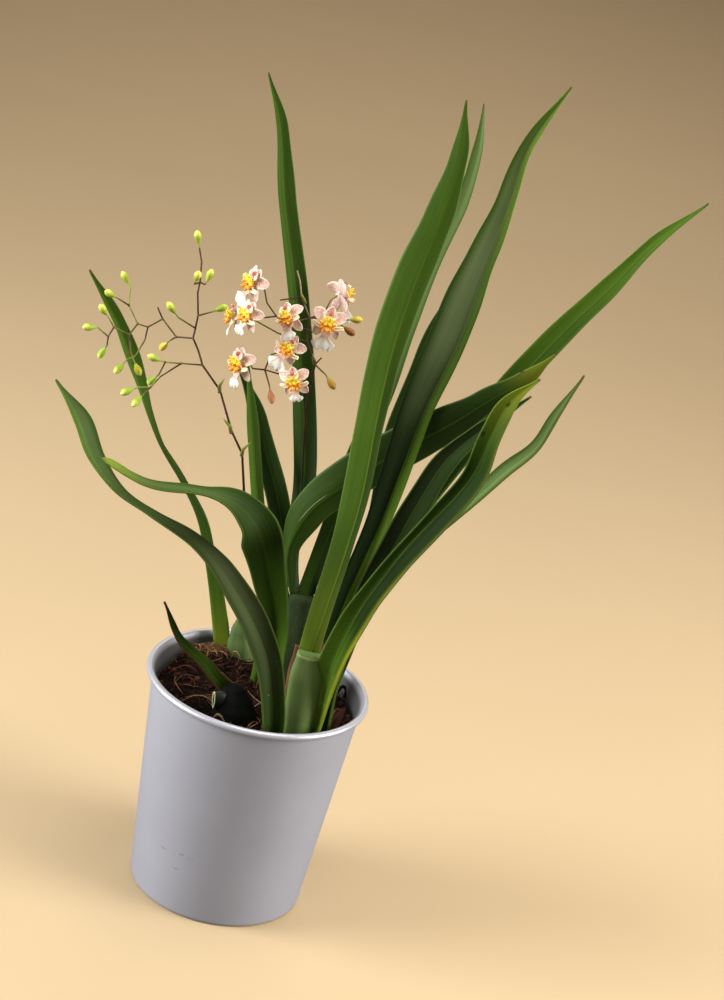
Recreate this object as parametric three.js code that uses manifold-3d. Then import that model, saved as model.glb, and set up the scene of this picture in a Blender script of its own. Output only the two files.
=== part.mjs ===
// A small orchid with two flower spikes, growing in bark mix in a tapered metal pot.
// Millimetres, +Z up. The origin is the middle of the pot's base, and the pot stands on z = 0.
// The front of the plant looks along -Y, and +X is to its right.

import * as THREE from "three";
import Module from "manifold-3d";

const wasm = await Module();
wasm.setup();

// Driving dimensions
const gap = 0.3; // left between pieces that touch
const pot = {
  height: 99,
  footRadius: 37.3,
  neckRadius: 44.8,
  wall: 1.1,
  beadRadius: 1.5,
  beadCentre: 46,
  footRounding: 1.6,
  neckDrop: 1.6, // from the bead's middle down to where the wall meets it
  floor: 1.6,
  innerRounding: 1.4,
  sides: 40,
};
const mix = {
  level: 90,
  mound: { height: 3.5, x: -18, y: 20, spread: 700 },
  lump: 1.6,
  lumpSize: 4,
  edgeDrop: 1.5,
  chamfer: 3,
  sides: 28,
  rings: 6,
};
const footLevel = 84.3; // where everything that stands in the mix ends
const bladeThickness = 0.8;
const bladeSteps = 17;
const twigRadii = [0.5, 0.45];
const bractRadii = [1.2, 0.3];
const up = new THREE.Vector3(0, 0, 1);

// Colours
const colour = {
  pot: 0xb9bcc8,
  mix: 0x3a2118,
  bulb: 0x56734a,
  bulbDark: 0x2c4428,
  leaf: 0x3d6a2c,
  leafDark: 0x274a22,
  stub: 0x5f7a2e,
  sheath: 0x7a4a2a,
  stem: 0x4a2c24,
  tepal: 0xe9c4b4,
  lip: 0xfaf3ea,
  callus: 0xf0a020,
};

const vec = (xyz) => new THREE.Vector3(...xyz);
const radians = THREE.MathUtils.degToRad;

// A number that looks random but is the same every time, from 0 to 1
function scatter(a, b = 0) {
  const wave = Math.sin(a * 127.1 + b * 311.7) * 43758.5453;
  return wave - Math.floor(wave);
}

// Reads a list of values spread evenly along a length, at a share of it from 0 to 1
function along(list, share) {
  const place = Math.min(Math.max(share, 0), 1) * (list.length - 1);
  const index = Math.min(Math.floor(place), list.length - 2);
  const rest = place - index;
  const ease = rest * rest * (3 - 2 * rest);
  const from = list[index];
  const to = list[index + 1];
  if (Array.isArray(from)) return from.map((value, axis) => value + (to[axis] - value) * ease);
  return from + (to - from) * ease;
}

// Solids from rings of points

function solid(points, triangles) {
  const vertProperties = new Float32Array(points.flatMap((point) => point.toArray()));
  return new wasm.Manifold(new wasm.Mesh({ numProp: 3, vertProperties,
    triVerts: new Uint32Array(triangles) }));
}

// Rings of the same number of points, joined side by side and closed with a point at each end
function loft(rings) {
  const count = rings[0].length;
  const points = rings.flat();
  const triangles = [];
  for (let row = 0; row < rings.length - 1; row++) {
    for (let side = 0; side < count; side++) {
      const next = (side + 1) % count;
      const a = row * count + side;
      const b = row * count + next;
      triangles.push(a, b, b + count, a, b + count, a + count);
    }
  }
  for (const [row, first] of [[0, true], [rings.length - 1, false]]) {
    const middle = rings[row].reduce((sum, point) => sum.add(point), new THREE.Vector3()).divideScalar(count);
    const hub = points.push(middle) - 1;
    for (let side = 0; side < count; side++) {
      const a = row * count + side;
      const b = row * count + ((side + 1) % count);
      triangles.push(...(first ? [hub, b, a] : [hub, a, b]));
    }
  }
  return solid(points, triangles);
}

// Rings that run across a thin blade's upper face and back along its lower face.
// Both faces are split into triangles the same way, so that they never cross.
function bladeLoft(rings) {
  const count = rings[0].length;
  const half = count / 2;
  const points = rings.flat();
  const triangles = [];
  for (let row = 0; row < rings.length - 1; row++) {
    for (let side = 0; side < count; side++) {
      const a = row * count + side;
      const b = row * count + ((side + 1) % count);
      const c = b + count;
      const d = a + count;
      if (side < half) triangles.push(a, b, c, a, c, d);
      else triangles.push(a, b, d, b, c, d);
    }
  }
  const last = (rings.length - 1) * count;
  for (let side = 0; side < half - 1; side++) {
    const under = count - 1 - side;
    triangles.push(side, under, under - 1, side, under - 1, side + 1);
    const end = last + side;
    triangles.push(end, end + 1, last + under - 1, end, last + under - 1, last + under);
  }
  return solid(points, triangles);
}

// A round or flattened rod through points, with a radius list spread along it.
// Each stretch between two points is split into "spans" parts.
function rod(points, radii, { sides = 4, spans = 1, flat = 1 } = {}) {
  const curve = new THREE.CatmullRomCurve3(points.map(vec));
  const count = (points.length - 1) * spans;
  let side = new THREE.Vector3(0.3, -0.9, 0.2);
  const rings = [];
  for (let step = 0; step <= count; step++) {
    const share = step / count;
    const heading = curve.getTangent(share);
    side = side.clone().addScaledVector(heading, -side.dot(heading)).normalize();
    const other = heading.clone().cross(side);
    const radius = along(radii, share);
    const centre = curve.getPoint(share);
    rings.push(Array.from({ length: sides }, (_, corner) => {
      const angle = (corner / sides) * Math.PI * 2;
      const across = centre.clone().addScaledVector(side, radius * flat * Math.cos(angle));
      return across.addScaledVector(other, radius * Math.sin(angle));
    }));
  }
  return loft(rings);
}

// A folded strap leaf. Its spine is the midrib, its upper face looks along "faces",
// and each half rises from the midrib by "folds" degrees.
function bladeRings({ spine, halfWidths, folds, faces, steps = bladeSteps }, grow = 0) {
  const curve = new THREE.CatmullRomCurve3(spine.map(vec));
  const thick = bladeThickness / 2 + grow;
  const rings = [];
  for (let step = 0; step <= steps; step++) {
    const share = step / steps;
    const heading = curve.getTangentAt(share);
    const face = vec(along(faces, share));
    face.addScaledVector(heading, -face.dot(heading)).normalize();
    const side = heading.clone().cross(face);
    const fold = radians(along(folds, share));
    const reach = along(halfWidths, share) + grow;
    const centre = curve.getPointAt(share);
    const at = (across, rise) => centre.clone().addScaledVector(side, across).addScaledVector(face, rise);
    const edgeOut = reach * Math.cos(fold);
    const edgeUp = reach * Math.sin(fold);
    const leanOut = thick * Math.sin(fold);
    const leanUp = thick * Math.cos(fold);
    const groove = Math.min(thick / Math.cos(fold), thick + 0.6 * edgeUp);
    rings.push([
      at(-edgeOut + leanOut, edgeUp + leanUp), at(0, groove), at(edgeOut - leanOut, edgeUp + leanUp),
      at(edgeOut + leanOut, edgeUp - leanUp), at(0, -thick), at(-edgeOut - leanOut, edgeUp - leanUp),
    ]);
  }
  return rings;
}

const blade = (shape, grow = 0) => bladeLoft(bladeRings(shape, grow));

// Pot: a tapered cup of thin metal with a rolled-out rim bead

function potProfile() {
  const beadHeight = pot.height - pot.beadRadius;
  const profile = [[0, 0], [pot.footRadius - pot.footRounding, 0]];
  profile.push([pot.footRadius - pot.footRounding / 4, pot.footRounding / 3],
    [pot.footRadius, pot.footRounding]);
  profile.push([pot.neckRadius, beadHeight - pot.neckDrop]);
  for (let step = 0; step <= 5; step++) {
    const angle = radians(-90 + step * 45);
    const out = pot.beadRadius * Math.cos(angle);
    profile.push([pot.beadCentre + out, beadHeight + pot.beadRadius * Math.sin(angle)]);
  }
  const inside = pot.footRadius - pot.wall;
  profile.push([pot.neckRadius - pot.wall, beadHeight - pot.neckDrop]);
  profile.push([inside, pot.floor + pot.innerRounding], [inside - pot.innerRounding, pot.floor],
    [0, pot.floor]);
  return profile;
}

function wallRadius(z) {
  const share = (z - pot.footRounding) / (pot.height - pot.beadRadius - pot.neckDrop - pot.footRounding);
  return THREE.MathUtils.lerp(pot.footRadius, pot.neckRadius, share) - pot.wall;
}

function turned(profile, sides) {
  const rings = profile.filter(([radius]) => radius > 0).map(([radius, z]) =>
    Array.from({ length: sides }, (_, side) => {
      const angle = (side / sides) * Math.PI * 2;
      return new THREE.Vector3(radius * Math.cos(angle), radius * Math.sin(angle), z);
    }));
  return loft(rings);
}

// Bark mix: a plug that fills the pot, lumpy on top, with a low mound at the back left
function surfaceHeight(x, y) {
  const { height, x: middleX, y: middleY, spread } = mix.mound;
  const mound = height * Math.exp(-((x - middleX) ** 2 + (y - middleY) ** 2) / spread);
  const lump = mix.lump * (scatter(Math.round(x / mix.lumpSize), Math.round(y / mix.lumpSize)) - 0.5);
  const edge = Math.hypot(x, y) / wallRadius(mix.level);
  return mix.level + mound + lump - mix.edgeDrop * edge ** 4;
}

function mixSolid() {
  const rings = [];
  const bottom = pot.floor + gap;
  const ring = (radius, height) => Array.from({ length: mix.sides }, (_, side) => {
    const angle = ((side + (rings.length % 2) / 2) / mix.sides) * Math.PI * 2;
    const x = radius * Math.cos(angle);
    const y = radius * Math.sin(angle);
    return new THREE.Vector3(x, y, height ?? surfaceHeight(x, y));
  });
  const rim = wallRadius(mix.level) - 2 * gap;
  const foot = wallRadius(bottom + mix.chamfer) - 2 * gap;
  rings.push(ring(foot - mix.chamfer, bottom), ring(foot, bottom + mix.chamfer));
  for (let step = 0; step < mix.rings; step++) rings.push(ring(rim * (1 - step / mix.rings)));
  return loft(rings);
}

// Bulbs: flattened eggs with shallow ribs
const bulbShape = { sides: 12, steps: 7, ribs: 5, ribDepth: 0.035 };
const bulbs = {
  bulb_front: { foot: [21, -29, 83], tip: [18.5, -27, 128.5], halfWidths: [4.2, 5.4, 5.7, 4.9, 3.2],
    depth: 0.8 },
  bulb_back: { foot: [12, 11, 83], tip: [10, 11, 136], halfWidths: [6, 8.2, 8.4, 7.6, 5.8], depth: 0.8 },
  bulb_left: { foot: [-10, 31, 83], tip: [-14, 31, 110], halfWidths: [4.5, 5.8, 5.9, 4.6, 2.2],
    depth: 0.8 },
  bulb_old: { foot: [-5, -21, 83], tip: [-10, -22, 106], halfWidths: [8.5, 9.8, 9.2, 6.8, 2.6],
    depth: 0.8, dark: true },
};

function bulb({ foot, tip, halfWidths, depth }, grow = 0) {
  const from = vec(foot).addScaledVector(up, -grow);
  const axis = vec(tip).addScaledVector(up, grow).sub(from);
  const { sides, steps, ribs, ribDepth } = bulbShape;
  const rings = [];
  for (let step = 0; step <= steps; step++) {
    const share = step / steps;
    const radius = along(halfWidths, share);
    rings.push(Array.from({ length: sides }, (_, side) => {
      const angle = (side / sides) * Math.PI * 2;
      const rib = 1 + ribDepth * Math.cos(angle * ribs);
      const x = (radius * rib + grow) * Math.cos(angle);
      const y = (radius * rib * depth + grow) * Math.sin(angle);
      return from.clone().addScaledVector(axis, share).add(new THREE.Vector3(x, y, 0));
    }));
  }
  return loft(rings);
}

// A leaf base that was cut off short, and two dry sheaths
const stub = { path: [[-9, -22, 93], [-13, -24, 96], [-17.5, -26, 98.5]], radius: 3.2, flat: 0.45 };
const sheaths = {
  dry_sheath_left: {
    spine: [[16, -20, 83], [15, -20, 105], [13, -20, 128]],
    halfWidths: [3, 3.6, 3.4, 1.2], folds: [25, 30], faces: [[0, 1, 0], [0, 1, 0]], steps: 8,
  },
  dry_sheath_right: {
    spine: [[22, -20, 83], [24, -21, 108], [25, -22, 131]],
    halfWidths: [1.8, 1.8, 1.6, 0.5], folds: [25, 30], faces: [[0.3, 1, 0], [0.3, 1, 0]], steps: 8,
  },
};

// Leaves. Lists are spread evenly along each leaf, from its foot to its tip.
const leaves = {
  leaf_far_left_low: {
    spine: [[12, -32, 83], [9, -34, 104], [1, -36, 129], [-16, -38, 153], [-34, -36, 168],
      [-54, -31, 174], [-70, -27, 179], [-82, -23, 189], [-90, -19, 201], [-104, -14, 214]],
    halfWidths: [4.5, 6.5, 7, 7, 6, 5, 5.6, 5.6, 4.6, 0.5],
    folds: [60, 45, 30, 22, 12, 12, 15, 15],
    faces: [[0.3, -1, 0], [0.3, -1, 0], [0.2, -0.8, 0.3], [0.1, -0.5, 0.8], [0, 0.1, 1], [0, 0.3, 1],
      [0.2, 0.1, 1], [0.4, -0.4, 0.8], [0.5, -0.3, 0.6]],
  },
  leaf_tongue: {
    spine: [[10, -21, 83], [7, -22, 105], [3, -23, 136], [-4, -25, 157], [-12, -28, 176], [-22, -32, 186],
      [-36, -37, 190], [-58, -43, 191], [-76, -47, 199]],
    halfWidths: [3.5, 4, 4.5, 5, 6.5, 9, 8, 6, 4.5, 0.5],
    folds: [60, 40, 25, 15, 12, 12, 12],
    faces: [[0, -1, 0], [0, -1, 0], [0, -1, 0], [0, -1, 0], [0, -1, 0.1], [0, -0.6, 0.8], [0, 0.1, 1],
      [0, 0, 1], [0, -0.2, 1]],
  },
  leaf_far_left_high: {
    spine: [[-20, 33, 80], [-26, 32, 104], [-33, 30, 129], [-41, 26, 153], [-50, 23, 168], [-63, 21, 185],
      [-76, 17, 212], [-87, 14, 233], [-102, 10, 254]],
    halfWidths: [7, 7, 6, 5, 4.4, 3.6, 3.4, 3.5, 2.8, 0.5],
    folds: [75, 70, 55, 30, 10, 25, 30],
    faces: [[1, 0.2, 0], [1, 0.2, 0], [0.9, 0.2, 0.3], [0.8, 0.2, 0.6], [0.7, 0.5, 0.6], [0.3, 1, 0.3],
      [0.2, 1, 0.2]],
  },
  leaf_torn: {
    spine: [[-8, -17, 98], [-15, -19, 102], [-23, -22, 111], [-34, -26, 121], [-43, -30, 138]],
    halfWidths: [2.6, 2.8, 2.2, 1.4, 0.4],
    folds: [40, 25, 15],
    faces: [[0.5, -0.7, 0.7], [0.5, -0.7, 0.7]],
    steps: 12,
  },
  leaf_centre_tall: {
    spine: [[6, 14, 136], [1, 17, 152], [0, 22, 180], [-8, 26, 215], [-19, 26, 256], [-32, 24, 296],
      [-40, 20, 328], [-48, 17, 346]],
    halfWidths: [3, 5, 5.8, 5.8, 5.4, 5, 5, 4.8, 3.2, 0.4],
    folds: [50, 30, 25, 25],
    faces: [[0, 1, 0], [0, 1, 0], [0.25, 1, 0], [0.5, 0.9, 0], [0.5, 0.9, 0]],
  },
  leaf_centre_narrow: {
    spine: [[-2, 7, 83], [-3, 7, 120], [-9, 8, 148], [-17, 10, 174], [-25, 12, 203], [-33, 14, 231]],
    halfWidths: [2, 2.2, 2.6, 3, 2.8, 0.4],
    folds: [35, 25],
    faces: [[0, 1, 0], [0, 1, 0]],
    steps: 14,
  },
  leaf_centre_dark: {
    spine: [[-3, 18, 83], [-1, 17, 115], [-1, 15, 146], [-8, 18, 170], [-17, 22, 188], [-28, 27, 209],
      [-38, 31, 222]],
    halfWidths: [2.4, 2.6, 3.6, 5.2, 5.2, 4, 0.5],
    folds: [45, 25, 20],
    faces: [[0, -1, 0], [0.2, -1, 0], [0.3, -1, 0]],
    steps: 18,
  },
  leaf_right_arching: {
    spine: [[5, 9, 136], [0, 8, 155], [5, 6, 175], [15, 5, 189], [35, 1, 212], [52, -3, 229],
      [65, -6, 244], [77, -9, 257], [85, -12, 270]],
    halfWidths: [2.6, 5, 8.4, 10, 10, 9.6, 8.4, 5.6, 3.8, 0.5],
    folds: [55, 30, 15, 15, 15],
    faces: [[0.4, 1, 0.2], [0.1, 1, 0.2], [0, 1, 0.2], [0, 1, 0.2], [0, 1, 0.2]],
  },
  leaf_front_tall: {
    spine: [[18, -27, 129], [19, -26, 147], [21, -23, 170], [22, -19, 196], [21, -16, 226],
      [21, -15, 258], [24, -15, 287], [29, -16, 315], [31, -18, 341], [29, -21, 360]],
    halfWidths: [4.6, 4.8, 5, 5.8, 5.6, 6, 6.4, 6.2, 4.6, 2.6, 0.4],
    folds: [55, 35, 15, 12, 12, 12],
    faces: [[0, 1, 0], [0, 1, 0], [0.1, 1, 0], [0.1, 1, 0], [0.3, 1, 0]],
  },
  leaf_second_tall: {
    spine: [[11, 10, 136], [15, 14, 166], [18, 16, 194], [24, 18, 227], [27, 20, 255], [31, 20, 285],
      [37, 18, 314], [38, 15, 335], [36, 12, 354]],
    halfWidths: [2.6, 3.6, 4.4, 4.8, 5, 4.6, 4.2, 3.8, 2.6, 0.4],
    folds: [50, 30, 20, 20],
    faces: [[-0.3, 1, 0], [-0.4, 1, 0], [-0.5, 1, 0]],
    steps: 22,
  },
  leaf_right_tall: {
    spine: [[27, -14, 83], [26, -11, 110], [27, -8, 130], [29, -7, 152], [33, -5, 180], [35, -3, 205],
      [38, -2, 235], [43, -2, 262], [47, -3, 290], [52, -4, 318], [55, -7, 345], [66, -12, 372]],
    halfWidths: [3.2, 3.6, 4.4, 5, 5.4, 6.6, 7.2, 8, 7.8, 5.8, 3.8, 2.4, 0.4],
    folds: [65, 50, 40, 25, 12, 12, 15],
    faces: [[0.3, -1, 0], [0.2, -1, 0], [0.2, -1, 0], [0, -1, 0], [0, -1, 0], [0.2, -1, 0]],
  },
  leaf_right_inner: {
    spine: [[16, -3, 83], [22, -1, 130], [28, 11, 180], [31, 11, 220], [38, 8, 262], [45, 4, 292]],
    halfWidths: [2.6, 3.6, 5, 5.6, 4.6, 0.4],
    folds: [50, 30, 20],
    faces: [[-0.2, 1, 0], [-0.4, 1, 0]],
    steps: 20,
  },
  leaf_right_edged: {
    spine: [[27, -24, 83], [28, -27, 100], [30, -31, 130], [36, -35, 156], [45, -39, 180], [55, -43, 202],
      [65, -45, 225], [67, -45, 242], [71, -43, 257], [80, -41, 268]],
    halfWidths: [4.4, 5.6, 7, 6, 4, 4.2, 5, 5, 4.4, 0.5],
    folds: [60, 40, 30, 25, 20, 20],
    faces: [[-0.6, -0.8, 0], [-0.6, -0.8, 0.2], [-0.4, -0.8, 0.6], [-0.3, -0.9, 0.4], [-0.2, -1, 0.2]],
  },
  leaf_right_dark: {
    spine: [[30, -19, 83], [31, -17, 120], [33, -15, 150], [39, -14, 174], [46, -13, 197], [54, -13, 218],
      [66, -15, 236], [80, -17, 253]],
    halfWidths: [2.8, 3.4, 4.8, 6.2, 6.4, 5.4, 3.6, 0.4],
    folds: [60, 45, 25, 20, 20],
    faces: [[0.2, -1, 0.1], [0, -1, 0.3], [0, -1, 0.3]],
    steps: 22,
  },
  leaf_right_low: {
    spine: [[34, -23, 83], [34, -22, 120], [41, -22, 155], [54, -21, 181], [69, -19, 206], [78, -16, 220],
      [87, -13, 231], [92, -9, 245], [99, -3, 262]],
    halfWidths: [2.6, 3.2, 4, 4.4, 4.4, 3.6, 4, 2.8, 0.4],
    folds: [60, 40, 30, 25, 25],
    faces: [[-0.7, -0.3, 0.4], [-0.6, -0.5, 0.5], [-0.6, -0.5, 0.5]],
  },
  leaf_far_right: {
    spine: [[15, 13, 136], [22, 12, 143], [40, 14, 164], [59, 18, 207], [75, 22, 244], [90, 25, 271],
      [102, 26, 290], [115, 26, 313], [131, 23, 334]],
    halfWidths: [2.8, 4, 5.6, 6.6, 6.6, 6, 5, 3, 0.4],
    folds: [50, 30, 20, 20, 25],
    faces: [[-0.6, -0.6, 0.4], [-0.5, -0.8, 0.4], [-0.4, -0.8, 0.4], [-0.4, -0.8, 0.5]],
  },
};

// Blooms. "at" is the middle of the yellow callus, "look" is the way the bloom faces,
// and "lean" turns it in its own plane. "from" is where its stalk leaves the spray.
const blooms = [
  { at: [-39, 8, 264], look: [-0.75, -0.65, 0.2], lean: 18, size: 1.1,
    from: [[-25, 9, 253], [-30, 14, 256]] },
  { at: [-37, -4, 254], look: [-0.65, -0.75, 0.2], lean: 12, from: [[-25, 9, 253], [-30, 6, 252]] },
  { at: [-44, 12, 247.5], look: [-0.95, -0.2, 0.1], lean: 5,
    from: [[-11, 14, 244], [-23, 13, 245], [-33, 13, 248]] },
  { at: [-21, 2, 255], look: [-0.55, -0.8, 0.2], lean: -28, from: [[-12, 14, 254], [-15, 11, 253]] },
  { at: [-18, 2, 242.5], look: [-0.2, -1, 0.15], lean: 23, from: [[-25, 9, 230], [-24, 11, 236]] },
  { at: [-12, -4, 231], look: [-0.1, -1, 0.05], lean: -20, from: [[-6, 16, 225], [-9, 8, 227]] },
  { at: [-37, 3, 231], look: [-0.7, -0.7, 0.1], lean: -4, size: 1.1,
    from: [[-25, 9, 230], [-30, 10, 229]] },
  { at: [-4, 6, 255], look: [0.05, -1, 0.15], lean: 3, size: 1.12, from: [[-12, 14, 249], [-8, 14, 248]] },
  { at: [1, 23, 264], look: [0.7, 0.6, 0.3], lean: 10, from: [[-12, 14, 254], [-7, 17, 256]] },
];
const thinPetal = 0.7;
const callusMiddle = 1.5; // how far it stands out from the lip
const bloomParts = {
  dorsal: { spine: [[0, 1.6, -1.9], [0, 3.8, -1.8], [0, 6.6, -0.6]], halfWidths: [1, 2.1, 1.9, 0.5] },
  petal: { spine: [[0, 1.4, -1.9], [2.6, 2.8, -1.8], [5.4, 3.9, -2.8]], halfWidths: [1, 2.2, 2.3, 0.7] },
  sepal: { spine: [[0, 1, -2], [2.2, -1.8, -2.8], [3.6, -4.4, -4.2]], halfWidths: [0.9, 1.6, 1.5, 0.5] },
  bed: { spine: [[0, 0.9, -0.6], [0, -1, -0.6], [0, -4.2, -0.6], [0, -5.4, 0]],
    halfWidths: [1.6, 2.6, 1.3, 1.5] },
  lobe: { spine: [[0.4, -4.2, -0.5], [1.4, -6.6, 0.5], [2.1, -9.8, 0.2]], halfWidths: [1, 2.5, 2.5, 0.7] },
  column: { path: [[0, 1.6, -2], [0, 3.4, -0.6], [0, 4.2, 1]], radii: [1, 0.9, 1.2, 0.7] },
  stalk: { neck: [0, 0.6, -6], end: [0, 1.4, -2.9] },
  callus: { radius: 2.5, height: 3.2, foot: 0.15, bumps: 5, wart: 0.16 },
};

// A point of a bloom's own space, placed in the plant
function bloomFrame({ at, look, lean, size = 1 }) {
  const front = vec(look).normalize();
  const right = up.clone().cross(front).normalize();
  const top = front.clone().cross(right);
  const turn = radians(-lean);
  const across = right.clone().multiplyScalar(Math.cos(turn)).addScaledVector(top, Math.sin(turn));
  const upward = top.clone().multiplyScalar(Math.cos(turn)).addScaledVector(right, -Math.sin(turn));
  const matrix = new THREE.Matrix4().makeBasis(across, upward, front);
  matrix.scale(new THREE.Vector3(size, size, size));
  return matrix.setPosition(vec(at).addScaledVector(front, -callusMiddle * size));
}

const mirrored = ({ spine, halfWidths }) => ({ spine: spine.map(([x, y, z]) => [-x, y, z]), halfWidths });

// A flat petal along its spine, facing the front of the bloom
function petalSolid({ spine, halfWidths }, steps = 3) {
  const curve = new THREE.CatmullRomCurve3(spine.map(vec));
  const rings = [];
  for (let step = 0; step <= steps; step++) {
    const share = step / steps;
    const heading = curve.getTangentAt(share);
    const side = heading.clone().cross(new THREE.Vector3(0, 0, 1)).normalize();
    const rise = side.clone().cross(heading).multiplyScalar(thinPetal / 2);
    const reach = along(halfWidths, share);
    const centre = curve.getPointAt(share);
    const corner = (across, lift) => centre.clone().addScaledVector(side, across).addScaledVector(rise, lift);
    rings.push([corner(-reach, 1), corner(reach, 1), corner(reach, -1), corner(-reach, -1)]);
  }
  return bladeLoft(rings);
}

// Solids fused into one, without edges too short to matter
const joined = (solids) => wasm.Manifold.union(solids).simplify(0.03);

function tepalsShape() {
  const { dorsal, petal, sepal, column } = bloomParts;
  const pieces = [dorsal, petal, mirrored(petal)].map((shape) => petalSolid(shape));
  for (const shape of [sepal, mirrored(sepal)]) pieces.push(petalSolid(shape, 2));
  pieces.push(rod(column.path, column.radii, { sides: 5 }));
  return joined(pieces);
}

function lipShape() {
  const { bed, lobe } = bloomParts;
  return joined([petalSolid(bed, 2), petalSolid(lobe), petalSolid(mirrored(lobe))]);
}

function callusShape() {
  const { radius, height, foot, bumps, wart } = bloomParts.callus;
  const rings = [0, 0.4, 0.8, 1].map((share, row) => {
    const spread = radius * Math.sqrt(1 - (share * 0.94) ** 2);
    return Array.from({ length: bumps * 2 }, (_, corner) => {
      const angle = (corner / bumps) * Math.PI;
      const bumpy = spread * (1 + wart * ((corner + row) % 2 ? 1 : -1));
      return new THREE.Vector3(bumpy * Math.cos(angle), bumpy * Math.sin(angle), foot + height * share);
    });
  });
  return loft(rings);
}

// Sprays. Each is one stem with side stalks and buds, grown together.
// A stalk with a bud ends in it: the last stretch of its path is the bud.
const budRadii = [0.5, 1.6, 1.55, 0.5];
const shortestBud = 4.2;
const buddingSpray = {
  stem: [[8, -12, 83], [2, -12, 122], [-7, -10, 152], [-17, -8, 172], [-22, -8, 183], [-26, -8, 199],
    [-32, -7, 207], [-40, -5, 222], [-49, -3, 230], [-52, -1, 235], [-55, 0, 239], [-55, 2, 248],
    [-57, 3, 257], [-57, 4, 261], [-58, 5, 269], [-60, 6, 274]],
  radii: [1.3, 1.2, 1, 0.8, 0.6, 0.45],
  bracts: [[[-26, -8, 199], [-27, -9, 204]], [[-32, -7, 207], [-34, -8, 212]], [[-40, -5, 222],
    [-40, -6, 227]]],
  stalks: [
    [[-58, 5, 269], [-60, 6, 274], [-62, 6, 280]],
    [[-57, 4, 261], [-59, 3, 260], [-58, 1, 265]],
    [[-57, 4, 261], [-55, 6, 260], [-54, 8, 264]],
    [[-55, 2, 248], [-50, 5, 250], [-46, 8, 252]],
    [[-55, 1, 243], [-62, -3, 247], [-67, -6, 253]],
    [[-55, 0, 239], [-62, 3, 237], [-69, 6, 242], [-74, 4, 238], [-78, 2, 239], [-83, 4, 245],
      [-84, 6, 252], [-88, 8, 256]],
    [[-83, 4, 245], [-87, 0, 248], [-92, -4, 251]],
    [[-78, 2, 239], [-80, -2, 235], [-86, -6, 238], [-88, -9, 242], [-92, -11, 247]],
    [[-86, -6, 238], [-87, -10, 235], [-91, -14, 239], [-94, -16, 239]],
    [[-87, -10, 235], [-87, -9, 231], [-89, -8, 226]],
    [[-74, 4, 238], [-74, 2, 233], [-76, -2, 227], [-79, -4, 225], [-82, -6, 220]],
    [[-80, -2, 235], [-78, -4, 229], [-76, -5, 226], [-73, -4, 221]],
    [[-62, 3, 237], [-65, 8, 233], [-68, 11, 228]],
    [[-49, -3, 230], [-57, -7, 230], [-63, -10, 230], [-70, -13, 232]],
    [[-57, -7, 230], [-64, -8, 223], [-67, -9, 218], [-72, -10, 217], [-77, -12, 214]],
    [[-63, -10, 230], [-65, -6, 223], [-69, -3, 217]],
    [[-67, -9, 218], [-69, -11, 215], [-71, -14, 212]],
  ],
  twigs: [[[-69, 6, 242], [-72, 7, 246]]],
};
const bloomingSpray = {
  stem: [[14, 20, 83], [14, 20, 112], [12, 20, 136], [8, 18, 150], [4, 17, 165], [0, 18, 184],
    [-4, 17, 203], [-6, 16, 218], [-6, 16, 225], [-6, 15, 235], [-11, 14, 244], [-12, 14, 249],
    [-12, 14, 254], [-17, 16, 261], [-19, 17, 267], [-21, 17, 271]],
  radii: [1.3, 1.2, 1, 0.8, 0.55, 0.4],
  bracts: [[[-6, 15, 235], [-8, 13, 240]]],
  stalks: [
    [[-6, 15, 235], [-1, 12, 233], [4, 9, 229]],
    [[-25, 9, 230], [-22, 7, 225], [-19, 5, 218]],
    [[-12, 14, 254], [-4, 16, 255], [3, 15, 256.5], [6, 14, 257.5]],
    [[-4, 16, 255], [1, 14, 254], [5, 13, 252.5]],
  ],
  twigs: [
    [[-17, 16, 261], [-25, 12, 259]],
    [[-6, 16, 225], [-15, 13, 228], [-25, 9, 230]],
    [[-12, 14, 249], [-19, 12, 249], [-25, 9, 253]],
    [[-6, 15, 235], [-4, 13, 239]],
  ],
};

function budStalk(path) {
  const tip = vec(path[path.length - 1]);
  const neck = vec(path[path.length - 2]);
  const start = neck.clone().lerp(tip, 0.25);
  const length = Math.max(tip.distanceTo(start), shortestBud);
  const end = start.clone().addScaledVector(tip.clone().sub(neck).normalize(), length);
  const points = [0, 0.33, 0.7, 1].map((share) => start.clone().lerp(end, share).toArray());
  return [rod([...path.slice(0, -1), points[1]], twigRadii), rod(points, budRadii, { sides: 5 })];
}

function spraySolid({ stem, radii, bracts, stalks, twigs }, bloomList = []) {
  const pieces = [rod(stem, radii, { sides: 5 })];
  for (const path of bracts) pieces.push(rod(path, bractRadii));
  for (const path of stalks) pieces.push(...budStalk(path));
  for (const path of twigs) pieces.push(rod(path, twigRadii));
  for (const bloom of bloomList) {
    const frame = bloomFrame(bloom);
    const neck = vec(bloomParts.stalk.neck).applyMatrix4(frame);
    const end = vec(bloomParts.stalk.end).applyMatrix4(frame);
    pieces.push(rod([...bloom.from, neck.toArray(), end.toArray()], twigRadii));
  }
  return joined(pieces);
}

const group = new THREE.Group();

function addNode(name, body, hex, roughness = 0.6, metalness = 0) {
  const mesh = body.getMesh();
  const geometry = new THREE.BufferGeometry();
  const positions = new Float32Array(mesh.numVert * 3);
  for (let vertex = 0; vertex < mesh.numVert; vertex++) {
    for (let axis = 0; axis < 3; axis++) {
      positions[vertex * 3 + axis] = mesh.vertProperties[vertex * mesh.numProp + axis];
    }
  }
  geometry.setAttribute("position", new THREE.BufferAttribute(positions, 3));
  geometry.setIndex(new THREE.BufferAttribute(new Uint32Array(mesh.triVerts), 1));
  const node = new THREE.Mesh(geometry, new THREE.MeshStandardMaterial({ color: hex, roughness, metalness }));
  node.name = name;
  group.add(node);
}

const meets = (a, b) => a.intersect(b).volume() > 0;

function largest(body) {
  return body.decompose().reduce((best, piece) => (piece.volume() > best.volume() ? piece : best));
}

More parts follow.
